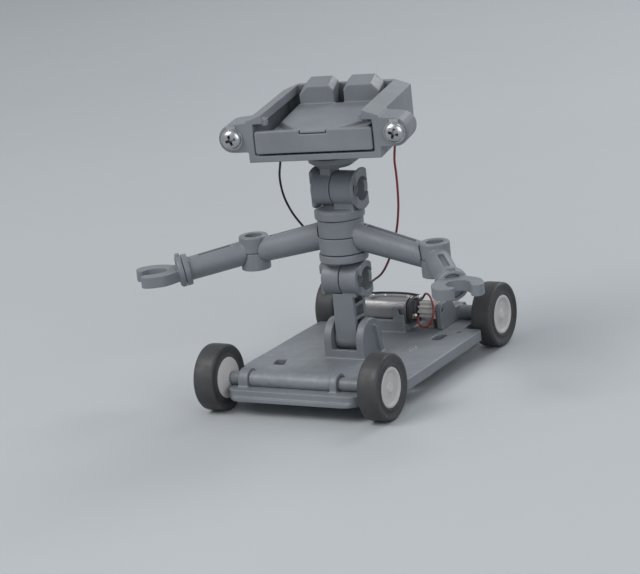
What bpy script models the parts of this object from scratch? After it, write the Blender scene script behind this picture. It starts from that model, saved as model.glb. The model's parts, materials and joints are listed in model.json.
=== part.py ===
"""Jointed salt-water fuel-cell robot on a four-wheeled chassis.

Metres, +Z up, the robot looks along -Y, its left-hand side (as built, +X) is the viewer's right.
All sizes below are millimetres; meshes are scaled to metres as they are made.
"""
import math

import bmesh
import bpy
from mathutils import Matrix, Vector

MM = 0.001

# Wheels and axles
TYRE_R = 12.0
TYRE_BORE = 7.4
RIM_R = 7.3
WHEEL_IN = 29.0
WHEEL_OUT = 37.0
HUB_IN = 27.6
RIM_DISH = 0.6
AXLE_Z = 12.0
AXLE_Y = 45.0
AXLE_R = 1.0
AXLE_HALF = 36.4
SLEEVE_R = 3.0
SLEEVE_END_R = 2.5
SLEEVE_END = 27.2
SLEEVE_BORE = 1.3
REAR_SLEEVE_R = 2.9
REAR_SLEEVE_RIGHT = 8.3
CLIP_LEFT = (-23.1, -19.2)
CLIP_RIGHT = (13.9, 16.7)
CLIP_R = 4.0
REAR_CLIPS = ((-23.1, -20.3), (-1.4, 1.4))
RUN = 0.1

# Deck
DECK_LOW = 6.0
DECK_TOP = 10.0
DECK_SKIN = 2.0
DECK_WALL = 1.6
DECK_HALF_FRONT = 35.0
DECK_HALF_REAR = 34.4
DECK_HALF_NOSE = 26.5
DECK_END = 52.5
DECK_SHOULDER = 31.8
NOSE_LEDGE = 0.9
NOSE_LEDGE_HALF = 25.0
NOSE_LEDGE_THICK = 1.5
RIB_X = 12.0
RIB_THICK = 1.4
FRONT_SLOT = ((19.7, -21.8), (24.6, -21.6), (26.1, -15.7), (22.3, -14.7))
OVAL_SLOT = (20.2, 24.4, 16.2, 23.6)
SLOT_RIM = 1.2
PEG_HOLE = (26.6, 27.0)

# Bracket for the column, and the column itself
WAIST = (0.0, -4.2, 16.4)
EAR_IN = 5.1
EAR_OUT = 8.2
EAR_R = 7.2
COLUMN_FOOT_R = 4.7
COLUMN_FOOT_HALF = 4.8
COLUMN_TOP = 34.0
COLUMN_HALF = 4.1
FLANGE_THICK = 1.8
COLUMN_SHELVES = (23.4, 28.4)
PIVOT_PIN_R = 1.5

# Torso stack, all about one upright axis
TORSO_Y = -4.5
BELLY_Z = 38.7
BELLY_R = 6.3
BELLY_LIP_R = 6.75
BELLY_HALF = 8.6
FLANGE_R = 8.9
FLANGE_LOW = 45.6
FLANGE_TOP = 48.6
POST_R = 4.4
RING_R = 8.4
RING_BORE = 4.7
LOWER_RING = (48.9, 54.9)
UPPER_RING = (55.2, 61.4)
POST_TOP = 61.5
PEG_R = 3.0
PEG_TOP = 63.2
PEG_HOLE_TOP = 63.6
COLLAR = (61.7, 65.4)
COLLAR_R = 9.1

# Neck
NECK_Z = 72.2
NECK_R = 6.4
NECK_LIP_R = 7.7
NECK_LEFT = 10.4
NECK_RIGHT = 8.8
KNUCKLE_GAP = 0.2
KNUCKLE_BORE = 2.5
KNUCKLE_COUNTERBORE = 4.4
KNUCKLE_DEPTH = 4.6
LIP_LENGTH = 1.5
LIP_HALF = 3.9
KNUCKLE_PIN_R = 2.3
YOKE = (80.6, 84.4)
YOKE_R = 9.3

# Arms
ARM_REACH = 37.2
ARM_ROOT_Z = 54.9
ARM_ELBOW_Z = 48.1
ELBOW_R = 5.4
ELBOW_LOW = 41.0
ELBOW_TOP = 53.5
ELBOW_MID = 47.5
ELBOW_CLEAR = 5.7
ELBOW_BORE = 2.1
BEND_LEFT = 52.0
BEND_RIGHT = 37.0
DROOP_LEFT = 6.5
DROOP_RIGHT = 8.0
FOREARM_Z = 47.5
FOREARM_R = 4.3
WRIST_FLANGE_R = 5.8
WRIST = 27.0
SLOT_WIDTH = 2.2
CLAW_THICK = 4.2
CLAW_OFFSET = 0.9
BLUNT_FINGER = [(28.4, 3.4), (31.4, 6.8), (34.6, 8.6), (39.2, 9.0), (41.6, 8.3), (42.9, 6.9), (42.9, 5.2),
                (42.0, 4.1), (40.8, 3.8), (39.4, 4.2), (36.8, 4.0), (34.0, 2.9), (32.9, 1.0)]
HOOKED_FINGER = [(32.9, -1.0), (34.0, -2.9), (36.8, -4.0), (39.4, -3.8), (40.8, -2.7), (42.2, -2.2),
                 (43.4, -3.0), (43.7, -4.6), (43.5, -6.7), (41.9, -8.3), (39.3, -9.0), (34.6, -8.6),
                 (31.4, -6.8), (28.4, -3.4)]

# Head, built about its own upright axis and then turned
HEAD_TURN = 14.0
HEAD_HALF = 24.0
HEAD_FRONT = -24.0
HEAD_REAR = 27.0
HEAD_LOW = 88.1
HEAD_FLOOR = 90.4
HEAD_RIM = 103.2
HEAD_CREST = 105.4
HEAD_CREST_HALF = 18.0
EAR_X = 29.5
EAR_Z = 97.0
EAR_LUG_R = 4.9
EAR_BACK = -11.0
LID_HALF = 21.2
LID = (91.2, 99.2)
NOTCH_HALF = 5.0
NOTCH_Z = 97.7
SCREW_R = 3.5
HUMPS = ((-15.0, -2.0), (1.6, 15.0))
HUMP_FRONT = (15.4, 106.4)
HUMP_REAR = (23.8, 108.4)
HUMP_BEVEL = 3.0
HUMP_INNER_BEVEL = 1.8

# Motor and gears
MOTOR = (30.0, 17.2)
MOTOR_WIDTH = 12.0
MOTOR_HEIGHT = 10.0
MOTOR_LEFT = -12.0
MOTOR_RIGHT = 7.2
CAP_RIGHT = 10.2
MODULE = 0.58
PINION_TEETH = 10
GEAR_TEETH = 18
WALL_X = (17.4, 19.6)
PINION_X = (10.9, 16.8)
LARGE_GEAR_X = (11.2, 13.9)
SMALL_GEAR_X = (13.7, 16.8)
AXLE_GEAR_X = (14.1, 16.7)
GEAR_WELL = (10.7, 17.3, 30.4, 51.4)

# Wires
WIRE_R = 0.42
WIRE_HOLE_R = 1.3


def place(axis, height, point):
    """Point of an outline lifted to a height along one axis."""
    if axis == "x":
        return (height, point[0], point[1])
    if axis == "y":
        return (point[0], height, point[1])
    return (point[0], point[1], height)


def solid(name, verts, faces):
    """Mesh object from millimetre vertices, faces turned outwards."""
    mesh = bpy.data.meshes.new(name)
    mesh.from_pydata([Vector(v) * MM for v in verts], [], faces)
    work = bmesh.new()
    work.from_mesh(mesh)
    bmesh.ops.remove_doubles(work, verts=work.verts, dist=1e-7)
    bmesh.ops.delete(work, geom=[v for v in work.verts if not v.link_faces], context="VERTS")
    bmesh.ops.recalc_face_normals(work, faces=work.faces)
    work.to_mesh(mesh)
    work.free()
    obj = bpy.data.objects.new(name, mesh)
    bpy.context.scene.collection.objects.link(obj)
    return obj


def prism(axis, points, low, high, name="piece"):
    """Straight block with the given outline between two planes across an axis."""
    count = len(points)
    verts = [place(axis, low, p) for p in points] + [place(axis, high, p) for p in points]
    faces = [list(range(count)), list(range(count, 2 * count))]
    for i in range(count):
        j = (i + 1) % count
        faces.append([i, j, count + j, count + i])
    return solid(name, verts, faces)


def block(x0, x1, y0, y1, z0, z1, name="piece"):
    """Rectangular block."""
    return prism("z", [(x0, y0), (x1, y0), (x1, y1), (x0, y1)], z0, z1, name)


def wedge(low, high, name="piece"):
    """Block between two flat outlines of as many corners, one above the other."""
    count = len(low)
    faces = [list(range(count)), list(range(count, 2 * count))]
    for i in range(count):
        j = (i + 1) % count
        faces += [[i, j, count + j], [i, count + j, count + i]]
    return solid(name, list(low) + list(high), faces)


def turned(axis, outline, centre=(0.0, 0.0), segments=32, name="piece"):
    """Round solid: a closed (radius, height) outline turned about an axis through a centre.

    Where the outline meets the axis at right angles the end is one flat face.
    """
    verts = []
    rings = []
    for radius, height in outline:
        if radius < 1e-6:
            rings.append([len(verts)])
            verts.append(place(axis, height, centre))
            continue
        ring = []
        for k in range(segments):
            angle = 2.0 * math.pi * k / segments
            ring.append(len(verts))
            spot = (centre[0] + radius * math.cos(angle), centre[1] + radius * math.sin(angle))
            verts.append(place(axis, height, spot))
        rings.append(ring)
    faces = []
    heights = [height for radius, height in outline]
    for i, a in enumerate(rings):
        b = rings[(i + 1) % len(rings)]
        if heights[i] == heights[(i + 1) % len(rings)] and 1 in (len(a), len(b)):
            faces.append(a if len(b) == 1 else b)
            continue
        for k in range(segments):
            m = (k + 1) % segments
            if len(a) > 1 and len(b) > 1:
                faces.append([a[k], a[m], b[m], b[k]])
            elif len(a) > 1:
                faces.append([a[k], a[m], b[0]])
            elif len(b) > 1:
                faces.append([a[0], b[m], b[k]])
    return solid(name, verts, faces)


def rod(axis, radius, low, high, centre=(0.0, 0.0), segments=24, name="piece"):
    """Plain round bar."""
    return turned(axis, [(0, low), (radius, low), (radius, high), (0, high)], centre, segments, name)


def tube(axis, outer, inner, low, high, centre=(0.0, 0.0), segments=32, name="piece"):
    """Plain round tube."""
    outline = [(inner, low), (outer, low), (outer, high), (inner, high)]
    return turned(axis, outline, centre, segments, name)


def taper(start, end, r_start, r_end, segments=24, name="piece"):
    """Round bar between two points with a different radius at each end."""
    a = Vector(start)
    b = Vector(end)
    along = (b - a).normalized()
    side = along.cross(Vector((0, 0, 1))).normalized()
    up = side.cross(along)
    verts = []
    for point, radius in ((a, r_start), (b, r_end)):
        for k in range(segments):
            angle = 2.0 * math.pi * k / segments
            verts.append(point + side * radius * math.cos(angle) + up * radius * math.sin(angle))
    faces = [list(range(segments)), list(range(segments, 2 * segments))]
    for k in range(segments):
        m = (k + 1) % segments
        faces.append([k, m, segments + m, segments + k])
    return solid(name, verts, faces)


def rounded(points, radii, steps=5):
    """Outline with its corners replaced by arcs."""
    result = []
    count = len(points)
    for i in range(count):
        here = Vector(points[i])
        radius = radii[i]
        if radius <= 0:
            result.append(tuple(here))
            continue
        back = (Vector(points[i - 1]) - here).normalized()
        ahead = (Vector(points[(i + 1) % count]) - here).normalized()
        half = back.angle(ahead) / 2.0
        reach = radius / math.tan(half)
        centre = here + (back + ahead).normalized() * (radius / math.sin(half))
        first = here + back * reach - centre
        last = here + ahead * reach - centre
        turn = first.angle_signed(last)
        for k in range(steps + 1):
            angle = -turn * k / steps
            c = math.cos(angle)
            s = math.sin(angle)
            result.append((centre.x + first.x * c - first.y * s, centre.y + first.x * s + first.y * c))
    return result


def merge(target, tool, operation="UNION"):
    """Boolean of two solids, kept as the first object's mesh."""
    step = target.modifiers.new("merge", "BOOLEAN")
    step.operation = operation
    step.solver = "EXACT"
    step.object = tool
    graph = bpy.context.evaluated_depsgraph_get()
    mesh = bpy.data.meshes.new_from_object(target.evaluated_get(graph))
    target.modifiers.clear()
    old = target.data
    target.data = mesh
    bpy.data.meshes.remove(old)
    waste = tool.data
    bpy.data.objects.remove(tool)
    bpy.data.meshes.remove(waste)
    return target


def union(target, *tools):
    for tool in tools:
        merge(target, tool, "UNION")
    return target


def cut(target, *tools):
    for tool in tools:
        merge(target, tool, "DIFFERENCE")
    return target


def moved(obj, matrix):
    """Transform the mesh itself; the translation part is in millimetres."""
    scaled = matrix.copy()
    scaled.translation = scaled.translation * MM
    obj.data.transform(scaled)
    return obj


def paint(obj, colour, rough, metal):
    material = bpy.data.materials.new(obj.name)
    material.use_nodes = True
    shader = material.node_tree.nodes["Principled BSDF"]
    shader.inputs["Base Color"].default_value = (colour[0], colour[1], colour[2], 1.0)
    shader.inputs["Roughness"].default_value = rough
    shader.inputs["Metallic"].default_value = metal
    obj.data.materials.clear()
    obj.data.materials.append(material)


GREY = ((0.17, 0.19, 0.21), 0.55, 0.0)
DARK_GREY = ((0.06, 0.065, 0.07), 0.5, 0.0)
RUBBER = ((0.012, 0.012, 0.013), 0.8, 0.0)
OFF_WHITE = ((0.75, 0.74, 0.71), 0.45, 0.0)
STEEL = ((0.6, 0.6, 0.6), 0.3, 1.0)
CHROME = ((0.8, 0.8, 0.8), 0.15, 1.0)
BRASS = ((0.7, 0.5, 0.2), 0.35, 1.0)
MAGNESIUM = ((0.5, 0.5, 0.5), 0.5, 0.9)
CARBON = ((0.02, 0.02, 0.02), 0.9, 0.0)
FELT = ((0.7, 0.7, 0.68), 0.95, 0.0)
BLACK = ((0.01, 0.01, 0.01), 0.5, 0.0)
RED = ((0.35, 0.02, 0.02), 0.5, 0.0)


def finish(obj, name, pivot, look):
    """Name, material, shading and origin (on the piece's own joint axis) of a finished piece."""
    obj.name = name
    obj.data.name = name
    paint(obj, *look)
    work = bmesh.new()
    work.from_mesh(obj.data)
    bmesh.ops.remove_doubles(work, verts=work.verts, dist=2e-6)
    bmesh.ops.dissolve_degenerate(work, edges=work.edges, dist=1e-6)
    bmesh.ops.triangulate(work, faces=[f for f in work.faces if len(f.verts) > 4])
    work.to_mesh(obj.data)
    work.free()
    obj.data.shade_smooth()
    obj.data.set_sharp_from_angle(angle=math.radians(32))
    spot = Vector(pivot) * MM
    obj.data.transform(Matrix.Translation(-spot))
    obj.location = spot
    return obj


# ---------------------------------------------------------------- deck

def deck_outline(inset):
    nose = DECK_HALF_NOSE - inset
    front = DECK_HALF_FRONT - inset
    rear = DECK_HALF_REAR - inset
    end = DECK_END - inset
    step = DECK_SHOULDER - inset
    points = [(-nose, -end), (nose, -end), (nose, -step), (front, -step),
              (rear, step), (nose, step), (nose, end), (-nose, end),
              (-nose, step), (-rear, step), (-front, -step), (-nose, -step)]
    corner = max(4.0 - inset, 1.0)
    radii = [corner, corner, 0, 2, 2, 0, corner, corner, 0, 2, 2, 0]
    return rounded(points, radii)


def deck_ear(x0, x1):
    """One upright cheek of the bracket, round-topped."""
    y, z = WAIST[1], WAIST[2]
    points = [(y - EAR_R, DECK_TOP - 1.0)]
    for k in range(13):
        angle = math.pi - math.pi * k / 12
        points.append((y + EAR_R * math.cos(angle), z + EAR_R * math.sin(angle)))
    points.append((y + EAR_R, DECK_TOP - 1.0))
    return prism("x", points, x0, x1)


def gusset(side):
    """Slanted stiffening rib on the outer face of a cheek."""
    y, z = WAIST[1], WAIST[2]
    points = [(y + 1.0, z + 4.5), (y + 3.0, z + 3.5), (y + 6.2, DECK_TOP - 0.5), (y + 3.6, DECK_TOP - 0.5)]
    x0, x1 = sorted((side * (EAR_OUT - 0.3), side * (EAR_OUT + 1.1)))
    return prism("x", points, x0, x1)


def clip(x0, x1, y):
    """Closed hoop that holds an axle sleeve to the deck."""
    hoop = rod("x", CLIP_R, x0, x1, (y, AXLE_Z))
    foot = block(x0, x1, y - CLIP_R, y + CLIP_R, DECK_TOP - 1.5, AXLE_Z)
    return union(hoop, foot)


def build_deck():
    deck = prism("z", deck_outline(0.0), DECK_LOW, DECK_TOP)
    half = NOSE_LEDGE_HALF
    ledge = [(-half, -DECK_END - NOSE_LEDGE), (half, -DECK_END - NOSE_LEDGE), (half, -40.0), (-half, -40.0)]
    union(deck, prism("z", rounded(ledge, [3.2, 3.2, 0, 0]), DECK_LOW, DECK_LOW + NOSE_LEDGE_THICK))
    hollow = [(-DECK_HALF_REAR + DECK_WALL + 0.8, -DECK_SHOULDER + 1.8),
              (DECK_HALF_REAR - DECK_WALL - 0.8, -DECK_SHOULDER + 1.8),
              (DECK_HALF_REAR - DECK_WALL - 0.8, DECK_SHOULDER - 6.0),
              (-DECK_HALF_REAR + DECK_WALL + 0.8, DECK_SHOULDER - 6.0)]
    cut(deck, prism("z", rounded(hollow, [2, 2, 2, 2]), DECK_LOW - 1.0, DECK_TOP - DECK_SKIN))
    for x in (-RIB_X, RIB_X):
        x0, x1 = x - RIB_THICK / 2.0, x + RIB_THICK / 2.0
        rib = block(x0, x1, -DECK_SHOULDER + 1.0, DECK_SHOULDER - 5.0, DECK_LOW + 0.6, DECK_TOP - 1.0)
        union(deck, rib)
    y, z = WAIST[1], WAIST[2]
    foot_top = z - COLUMN_FOOT_R - 0.4
    union(deck, deck_ear(EAR_IN, EAR_OUT), deck_ear(-EAR_OUT, -EAR_IN))
    union(deck, block(-EAR_OUT + 0.4, EAR_OUT - 0.4, y - EAR_R, y + EAR_R, DECK_TOP - 1.0, foot_top))
    lip = block(-EAR_IN - 0.5, EAR_IN + 0.5, y - EAR_R, y - COLUMN_FOOT_R - 0.5, DECK_TOP - 1.0, 13.2)
    union(deck, lip, gusset(1), gusset(-1))
    cut(deck, rod("x", PIVOT_PIN_R + 0.15, -EAR_OUT + 1.0, EAR_OUT - 1.0, (y, z)))
    for x0, x1 in (CLIP_LEFT, CLIP_RIGHT):
        union(deck, clip(x0, x1, -AXLE_Y))
    for x0, x1 in REAR_CLIPS:
        union(deck, clip(x0, x1, AXLE_Y))
    front = (-AXLE_Y, AXLE_Z)
    rear = (AXLE_Y, AXLE_Z)
    cut(deck, rod("x", SLEEVE_R + RUN, CLIP_LEFT[1], CLIP_RIGHT[0], front))
    cut(deck, rod("x", SLEEVE_END_R + RUN, -WHEEL_IN, CLIP_LEFT[1] + 0.2, front))
    cut(deck, rod("x", SLEEVE_END_R + RUN, CLIP_RIGHT[0] - 0.2, WHEEL_IN, front))
    cut(deck, rod("x", REAR_SLEEVE_R + RUN, -WHEEL_IN, REAR_SLEEVE_RIGHT + 0.2, rear))
    cut(deck, rod("x", REAR_SLEEVE_R + RUN, WALL_X[0] - 0.3, WHEEL_IN, rear))
    cut_motor_bay(deck)
    cut_slots(deck)
    union(deck, block(-27.0, 3.5, -38.6, -37.8, DECK_TOP - 0.5, DECK_TOP + 1.0))
    for k in range(3):
        union(deck, block(16.6, 19.6, 1.4 + 2.2 * k, 2.4 + 2.2 * k, DECK_TOP - 0.5, DECK_TOP + 0.5))
    return finish(deck, "chassis_deck", (0, 0, DECK_LOW), GREY)


def cut_motor_bay(deck):
    """Cradle under the motor and the well the gears turn in."""
    y, z = MOTOR
    half = MOTOR_WIDTH / 2.0 + 1.4
    low = z - MOTOR_HEIGHT / 2.0 - 0.1
    cut(deck, block(*GEAR_WELL, DECK_LOW - 1.0, DECK_TOP + 1.0))
    cradle = block(MOTOR_LEFT + 1.5, MOTOR_RIGHT - 0.6, y - half, y + half, DECK_TOP - 0.5, low + 2.6)
    seat = prism("x", motor_outline(0.12), MOTOR_LEFT, MOTOR_RIGHT)
    union(deck, cut(cradle, seat))
    front = y - MOTOR_WIDTH / 2.0
    clamp = block(MOTOR_RIGHT - 4.8, MOTOR_RIGHT - 0.3, front - 1.3, front - 0.15, DECK_TOP - 0.5, z + 2.6)
    cut(clamp, block(MOTOR_RIGHT - 2.5, MOTOR_RIGHT + 0.8, y - MOTOR_WIDTH, y, z - 0.4, z + 1.6))
    union(deck, clamp)


def cut_slots(deck):
    """Slots through the deck: two slanted ones at the front, an oval pair at the rear."""
    x0, x1, y0, y1 = OVAL_SLOT
    oval = rounded([(x0, y0), (x1, y0), (x1, y1), (x0, y1)], [2.0] * 4)
    front = [rounded([(side * x, y) for x, y in FRONT_SLOT], [0.6] * 4, 2) for side in (-1, 1)]
    for slot in front + [oval]:
        xs = [x for x, y in slot]
        ys = [y for x, y in slot]
        rim = block(min(xs) - SLOT_RIM, max(xs) + SLOT_RIM, min(ys) - SLOT_RIM, max(ys) + SLOT_RIM,
                    DECK_LOW + 0.4, DECK_TOP - 0.7)
        union(deck, rim)
        cut(deck, prism("z", slot, DECK_LOW - 1.0, DECK_TOP + 1.0))
    cut(deck, rod("z", 1.1, DECK_LOW - 1.0, DECK_TOP + 1.0, PEG_HOLE, 16))


# ---------------------------------------------------------------- wheels and drive

def build_sleeves():
    y = -AXLE_Y
    outline = [(SLEEVE_BORE, -SLEEVE_END), (SLEEVE_END_R, -SLEEVE_END),
               (SLEEVE_END_R, CLIP_LEFT[1] + 0.1), (SLEEVE_R, CLIP_LEFT[1] + 0.1),
               (SLEEVE_R, CLIP_RIGHT[0] - 0.1), (SLEEVE_END_R, CLIP_RIGHT[0] - 0.1),
               (SLEEVE_END_R, SLEEVE_END), (SLEEVE_BORE, SLEEVE_END)]
    front = turned("x", outline, (y, AXLE_Z), 32)
    finish(front, "front_axle_sleeve", (0, y, AXLE_Z), GREY)
    rear = tube("x", REAR_SLEEVE_R, SLEEVE_BORE, -SLEEVE_END, REAR_SLEEVE_RIGHT, (AXLE_Y, AXLE_Z), 32)
    finish(rear, "rear_axle_sleeve", (0, AXLE_Y, AXLE_Z), GREY)


def build_axle(name, y):
    ends = [(0, -AXLE_HALF), (AXLE_R - 0.2, -AXLE_HALF), (AXLE_R, -AXLE_HALF + 0.3),
            (AXLE_R, AXLE_HALF - 0.3), (AXLE_R - 0.2, AXLE_HALF), (0, AXLE_HALF)]
    finish(turned("x", ends, (y, AXLE_Z), 20), name, (0, y, AXLE_Z), STEEL)


def build_wheel(corner, side, y):
    """One wheel: off-white plastic rim with an inner cone, black tyre around it."""
    face = WHEEL_OUT - 0.2
    bore = AXLE_R + 0.06
    middle = side * (WHEEL_IN + WHEEL_OUT) / 2.0
    rim = [(bore, side * HUB_IN), (2.6, side * HUB_IN), (RIM_R, side * WHEEL_IN), (RIM_R, side * face),
           (6.2, side * face), (5.9, side * (face - RIM_DISH)), (bore, side * (face - RIM_DISH))]
    wheel = turned("x", rim, (y, AXLE_Z), 28)
    finish(wheel, "rim_" + corner, (middle, y, AXLE_Z), OFF_WHITE)
    bevel = 0.8
    inner = [(TYRE_BORE, WHEEL_IN), (TYRE_R - bevel, WHEEL_IN), (TYRE_R, WHEEL_IN + bevel)]
    outer = [(TYRE_R, WHEEL_OUT - bevel), (TYRE_R - bevel, WHEEL_OUT), (TYRE_BORE, WHEEL_OUT)]
    band = [(radius, side * x) for radius, x in inner + outer]
    tyre = turned("x", band, (y, AXLE_Z), 36)
    finish(tyre, "tyre_" + corner, (middle, y, AXLE_Z), RUBBER)


def gear(teeth, x0, x1, centre, phase, bore):
    """Straight spur gear across X with trapezoid teeth."""
    pitch = MODULE * teeth / 2.0
    root = pitch - 1.15 * MODULE
    tip = pitch + 0.9 * MODULE
    points = []
    for k in range(teeth):
        base = phase + 2.0 * math.pi * k / teeth
        for offset, radius in ((-0.31, root), (-0.12, tip), (0.12, tip), (0.31, root)):
            angle = base + offset * 2.0 * math.pi / teeth
            points.append((centre[0] + radius * math.cos(angle), centre[1] + radius * math.sin(angle)))
    wheel = prism("x", points, x0, x1)
    return cut(wheel, rod("x", bore, x0 - 1.0, x1 + 1.0, centre, 20))


def gear_post():
    """Centre of the double gear: one mesh distance from both the motor and the axle."""
    motor = Vector(MOTOR)
    axle = Vector((AXLE_Y, AXLE_Z))
    span = axle - motor
    reach = MODULE * (PINION_TEETH + GEAR_TEETH) / 2.0 + 0.05
    offset = math.sqrt(reach * reach - span.length_squared / 4.0)
    below = Vector((span.y, -span.x)).normalized()
    return motor + span / 2.0 + below * offset


def build_gears():
    motor = Vector(MOTOR)
    post = gear_post()
    axle = Vector((AXLE_Y, AXLE_Z))
    toward_post = math.atan2(post.y - motor.y, post.x - motor.x)
    toward_axle = math.atan2(axle.y - post.y, axle.x - post.x)
    pinion = gear(PINION_TEETH, *PINION_X, tuple(motor), toward_post, 0.55)
    finish(pinion, "motor_pinion", (PINION_X[0], motor.x, motor.y), OFF_WHITE)
    large_phase = toward_post + math.pi + math.pi / GEAR_TEETH
    large = gear(GEAR_TEETH, *LARGE_GEAR_X, tuple(post), large_phase, 1.15)
    small = gear(PINION_TEETH, *SMALL_GEAR_X, tuple(post), toward_axle, 1.15)
    finish(union(large, small), "double_gear", (LARGE_GEAR_X[0], post.x, post.y), OFF_WHITE)
    driven_phase = toward_axle + math.pi + math.pi / GEAR_TEETH
    driven = gear(GEAR_TEETH, *AXLE_GEAR_X, tuple(axle), driven_phase, AXLE_R + 0.06)
    hub = tube("x", 2.2, AXLE_R + 0.06, PINION_X[0], AXLE_GEAR_X[0] + 0.2, tuple(axle), 20)
    finish(union(driven, hub), "axle_gear", (AXLE_GEAR_X[0], AXLE_Y, AXLE_Z), OFF_WHITE)


def build_gear_bracket():
    """Upright wall beside the gears with the post of the double gear and the right-hand sleeve."""
    y, z = MOTOR
    foot = DECK_TOP + 0.1
    shelf = AXLE_Z + REAR_SLEEVE_R + 0.4
    outline = rounded([(y - 1.6, foot), (AXLE_Y + 4.6, foot), (AXLE_Y + 4.6, shelf),
                       (y + 10.4, shelf), (y + 7.6, z + 2.6), (y - 1.6, z + 2.4)],
                      [0, 0, 2.0, 1.0, 1.6, 2.0], 3)
    wall = prism("x", outline, WALL_X[0], WALL_X[1])
    union(wall, rod("x", REAR_SLEEVE_R, WALL_X[1] - 0.5, SLEEVE_END, (AXLE_Y, AXLE_Z), 24))
    union(wall, rod("x", 1.0, PINION_X[0], WALL_X[0] + 0.5, tuple(gear_post()), 16))
    cut(wall, rod("x", SLEEVE_BORE, WALL_X[0] - 1.0, SLEEVE_END + 1.0, (AXLE_Y, AXLE_Z), 16))
    cut(wall, rod("x", 0.8, WALL_X[0] - 0.5, WALL_X[1] + 0.5, MOTOR, 16))
    finish(wall, "gear_bracket", (WALL_X[0], AXLE_Y, DECK_TOP), GREY)


def motor_outline(grow):
    """Flat-sided round motor section, as (y, z) points."""
    y, z = MOTOR
    w = MOTOR_WIDTH / 2.0 + grow
    h = MOTOR_HEIGHT / 2.0 + grow
    return rounded([(y - w, z - h), (y + w, z - h), (y + w, z + h), (y - w, z + h)], [3.9 + grow] * 4, 5)


def build_motor():
    y, z = MOTOR
    can = prism("x", motor_outline(0.0), MOTOR_LEFT, MOTOR_RIGHT)
    union(can, rod("x", 2.6, MOTOR_LEFT - 1.4, MOTOR_LEFT + 0.2, MOTOR, 20))
    cut(can, rod("x", 0.9, MOTOR_LEFT - 2.0, MOTOR_RIGHT + 1.0, MOTOR, 16))
    finish(can, "motor_can", (MOTOR_LEFT, y, z), STEEL)
    cap = prism("x", motor_outline(-0.5), MOTOR_RIGHT + 0.1, MOTOR_RIGHT + 1.7)
    union(cap, rod("x", 4.2, MOTOR_RIGHT + 1.5, CAP_RIGHT, MOTOR, 24))
    cut(cap, rod("x", 0.9, MOTOR_RIGHT - 1.0, CAP_RIGHT + 1.0, MOTOR, 16))
    finish(cap, "motor_end_cap", (MOTOR_RIGHT, y, z), DARK_GREY)
    shaft = rod("x", 0.5, MOTOR_LEFT - 2.2, WALL_X[1], MOTOR, 16)
    finish(shaft, "motor_shaft", (MOTOR_LEFT, y, z), STEEL)
    top = block(MOTOR_RIGHT + 1.8, CAP_RIGHT + 0.8, y - 1.4, y + 0.4, z + 4.3, z + 4.8)
    finish(top, "motor_terminal_top", (CAP_RIGHT, y, z + 4.5), BRASS)
    front = block(MOTOR_RIGHT + 1.8, CAP_RIGHT + 0.8, y - 4.9, y - 4.4, z - 2.2, z - 0.4)
    finish(front, "motor_terminal_front", (CAP_RIGHT, y - 4.6, z - 1.3), BRASS)


# ---------------------------------------------------------------- column and torso

def knuckle(inner, outer, z, radius, lip_radius):
    """Half of a hinge barrel across X, open at its outer end between two flared lips."""
    side = 1.0 if outer > inner else -1.0
    seat = outer - side * KNUCKLE_DEPTH
    end = outer - side * LIP_LENGTH
    centre = (TORSO_Y, z)
    outline = [(KNUCKLE_BORE, inner), (radius, inner), (radius, end - side * 0.6),
               (lip_radius, outer - side * 0.4), (lip_radius - 0.3, outer),
               (KNUCKLE_COUNTERBORE, outer), (KNUCKLE_COUNTERBORE, seat), (KNUCKLE_BORE, seat)]
    barrel = turned("x", outline, centre, 24)
    low, high = sorted((end, outer + side * 1.0))
    for sign in (-1, 1):
        y0, y1 = sorted((TORSO_Y + sign * LIP_HALF, TORSO_Y + sign * 12.0))
        cut(barrel, block(low, high, y0, y1, z - 10.0, z + 10.0))
    return barrel


def build_column():
    """I-section post with a round foot between the bracket cheeks and half a barrel on top."""
    y, z = WAIST[1], WAIST[2]
    column = rod("x", COLUMN_FOOT_R, -COLUMN_FOOT_HALF, COLUMN_FOOT_HALF, (y, z), 24)
    front = [(-4.4, z), (4.4, z), (4.0, COLUMN_TOP), (-4.0, COLUMN_TOP)]
    union(column, prism("y", front, y - COLUMN_FOOT_R, y - COLUMN_FOOT_R + FLANGE_THICK))
    union(column, prism("y", front, y + COLUMN_FOOT_R - FLANGE_THICK, y + COLUMN_FOOT_R))
    union(column, block(-1.2, 1.2, y - COLUMN_FOOT_R + 0.5, y + COLUMN_FOOT_R - 0.5, z, COLUMN_TOP))
    half = COLUMN_HALF
    depth = COLUMN_FOOT_R - 0.5
    for height in COLUMN_SHELVES:
        union(column, block(-half, half, y - depth, y + depth, height, height + 1.2))
    depth = COLUMN_FOOT_R - 0.2
    union(column, block(0.2 - half, half - 0.2, y - depth, y + depth, COLUMN_TOP - 2.2, COLUMN_TOP))
    union(column, block(KNUCKLE_GAP + 0.1, 5.6, TORSO_Y - 4.4, TORSO_Y + 4.4, COLUMN_TOP - 1.5, BELLY_Z))
    cut(column, rod("x", BELLY_R + 0.35, -12.0, KNUCKLE_GAP + 0.1, (TORSO_Y, BELLY_Z), 24))
    cut(column, rod("x", BELLY_R - 1.0, KNUCKLE_GAP - 0.1, 7.0, (TORSO_Y, BELLY_Z), 20))
    union(column, knuckle(KNUCKLE_GAP, BELLY_HALF, BELLY_Z, BELLY_R, BELLY_LIP_R))
    cut(column, rod("x", PIVOT_PIN_R + 0.1, -7.0, 7.0, (y, z), 16))
    finish(column, "column", WAIST, GREY)
    pin = rod("x", PIVOT_PIN_R, -EAR_OUT + 1.2, EAR_OUT - 1.2, (y, z), 20)
    finish(pin, "waist_pin", WAIST, STEEL)


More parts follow.
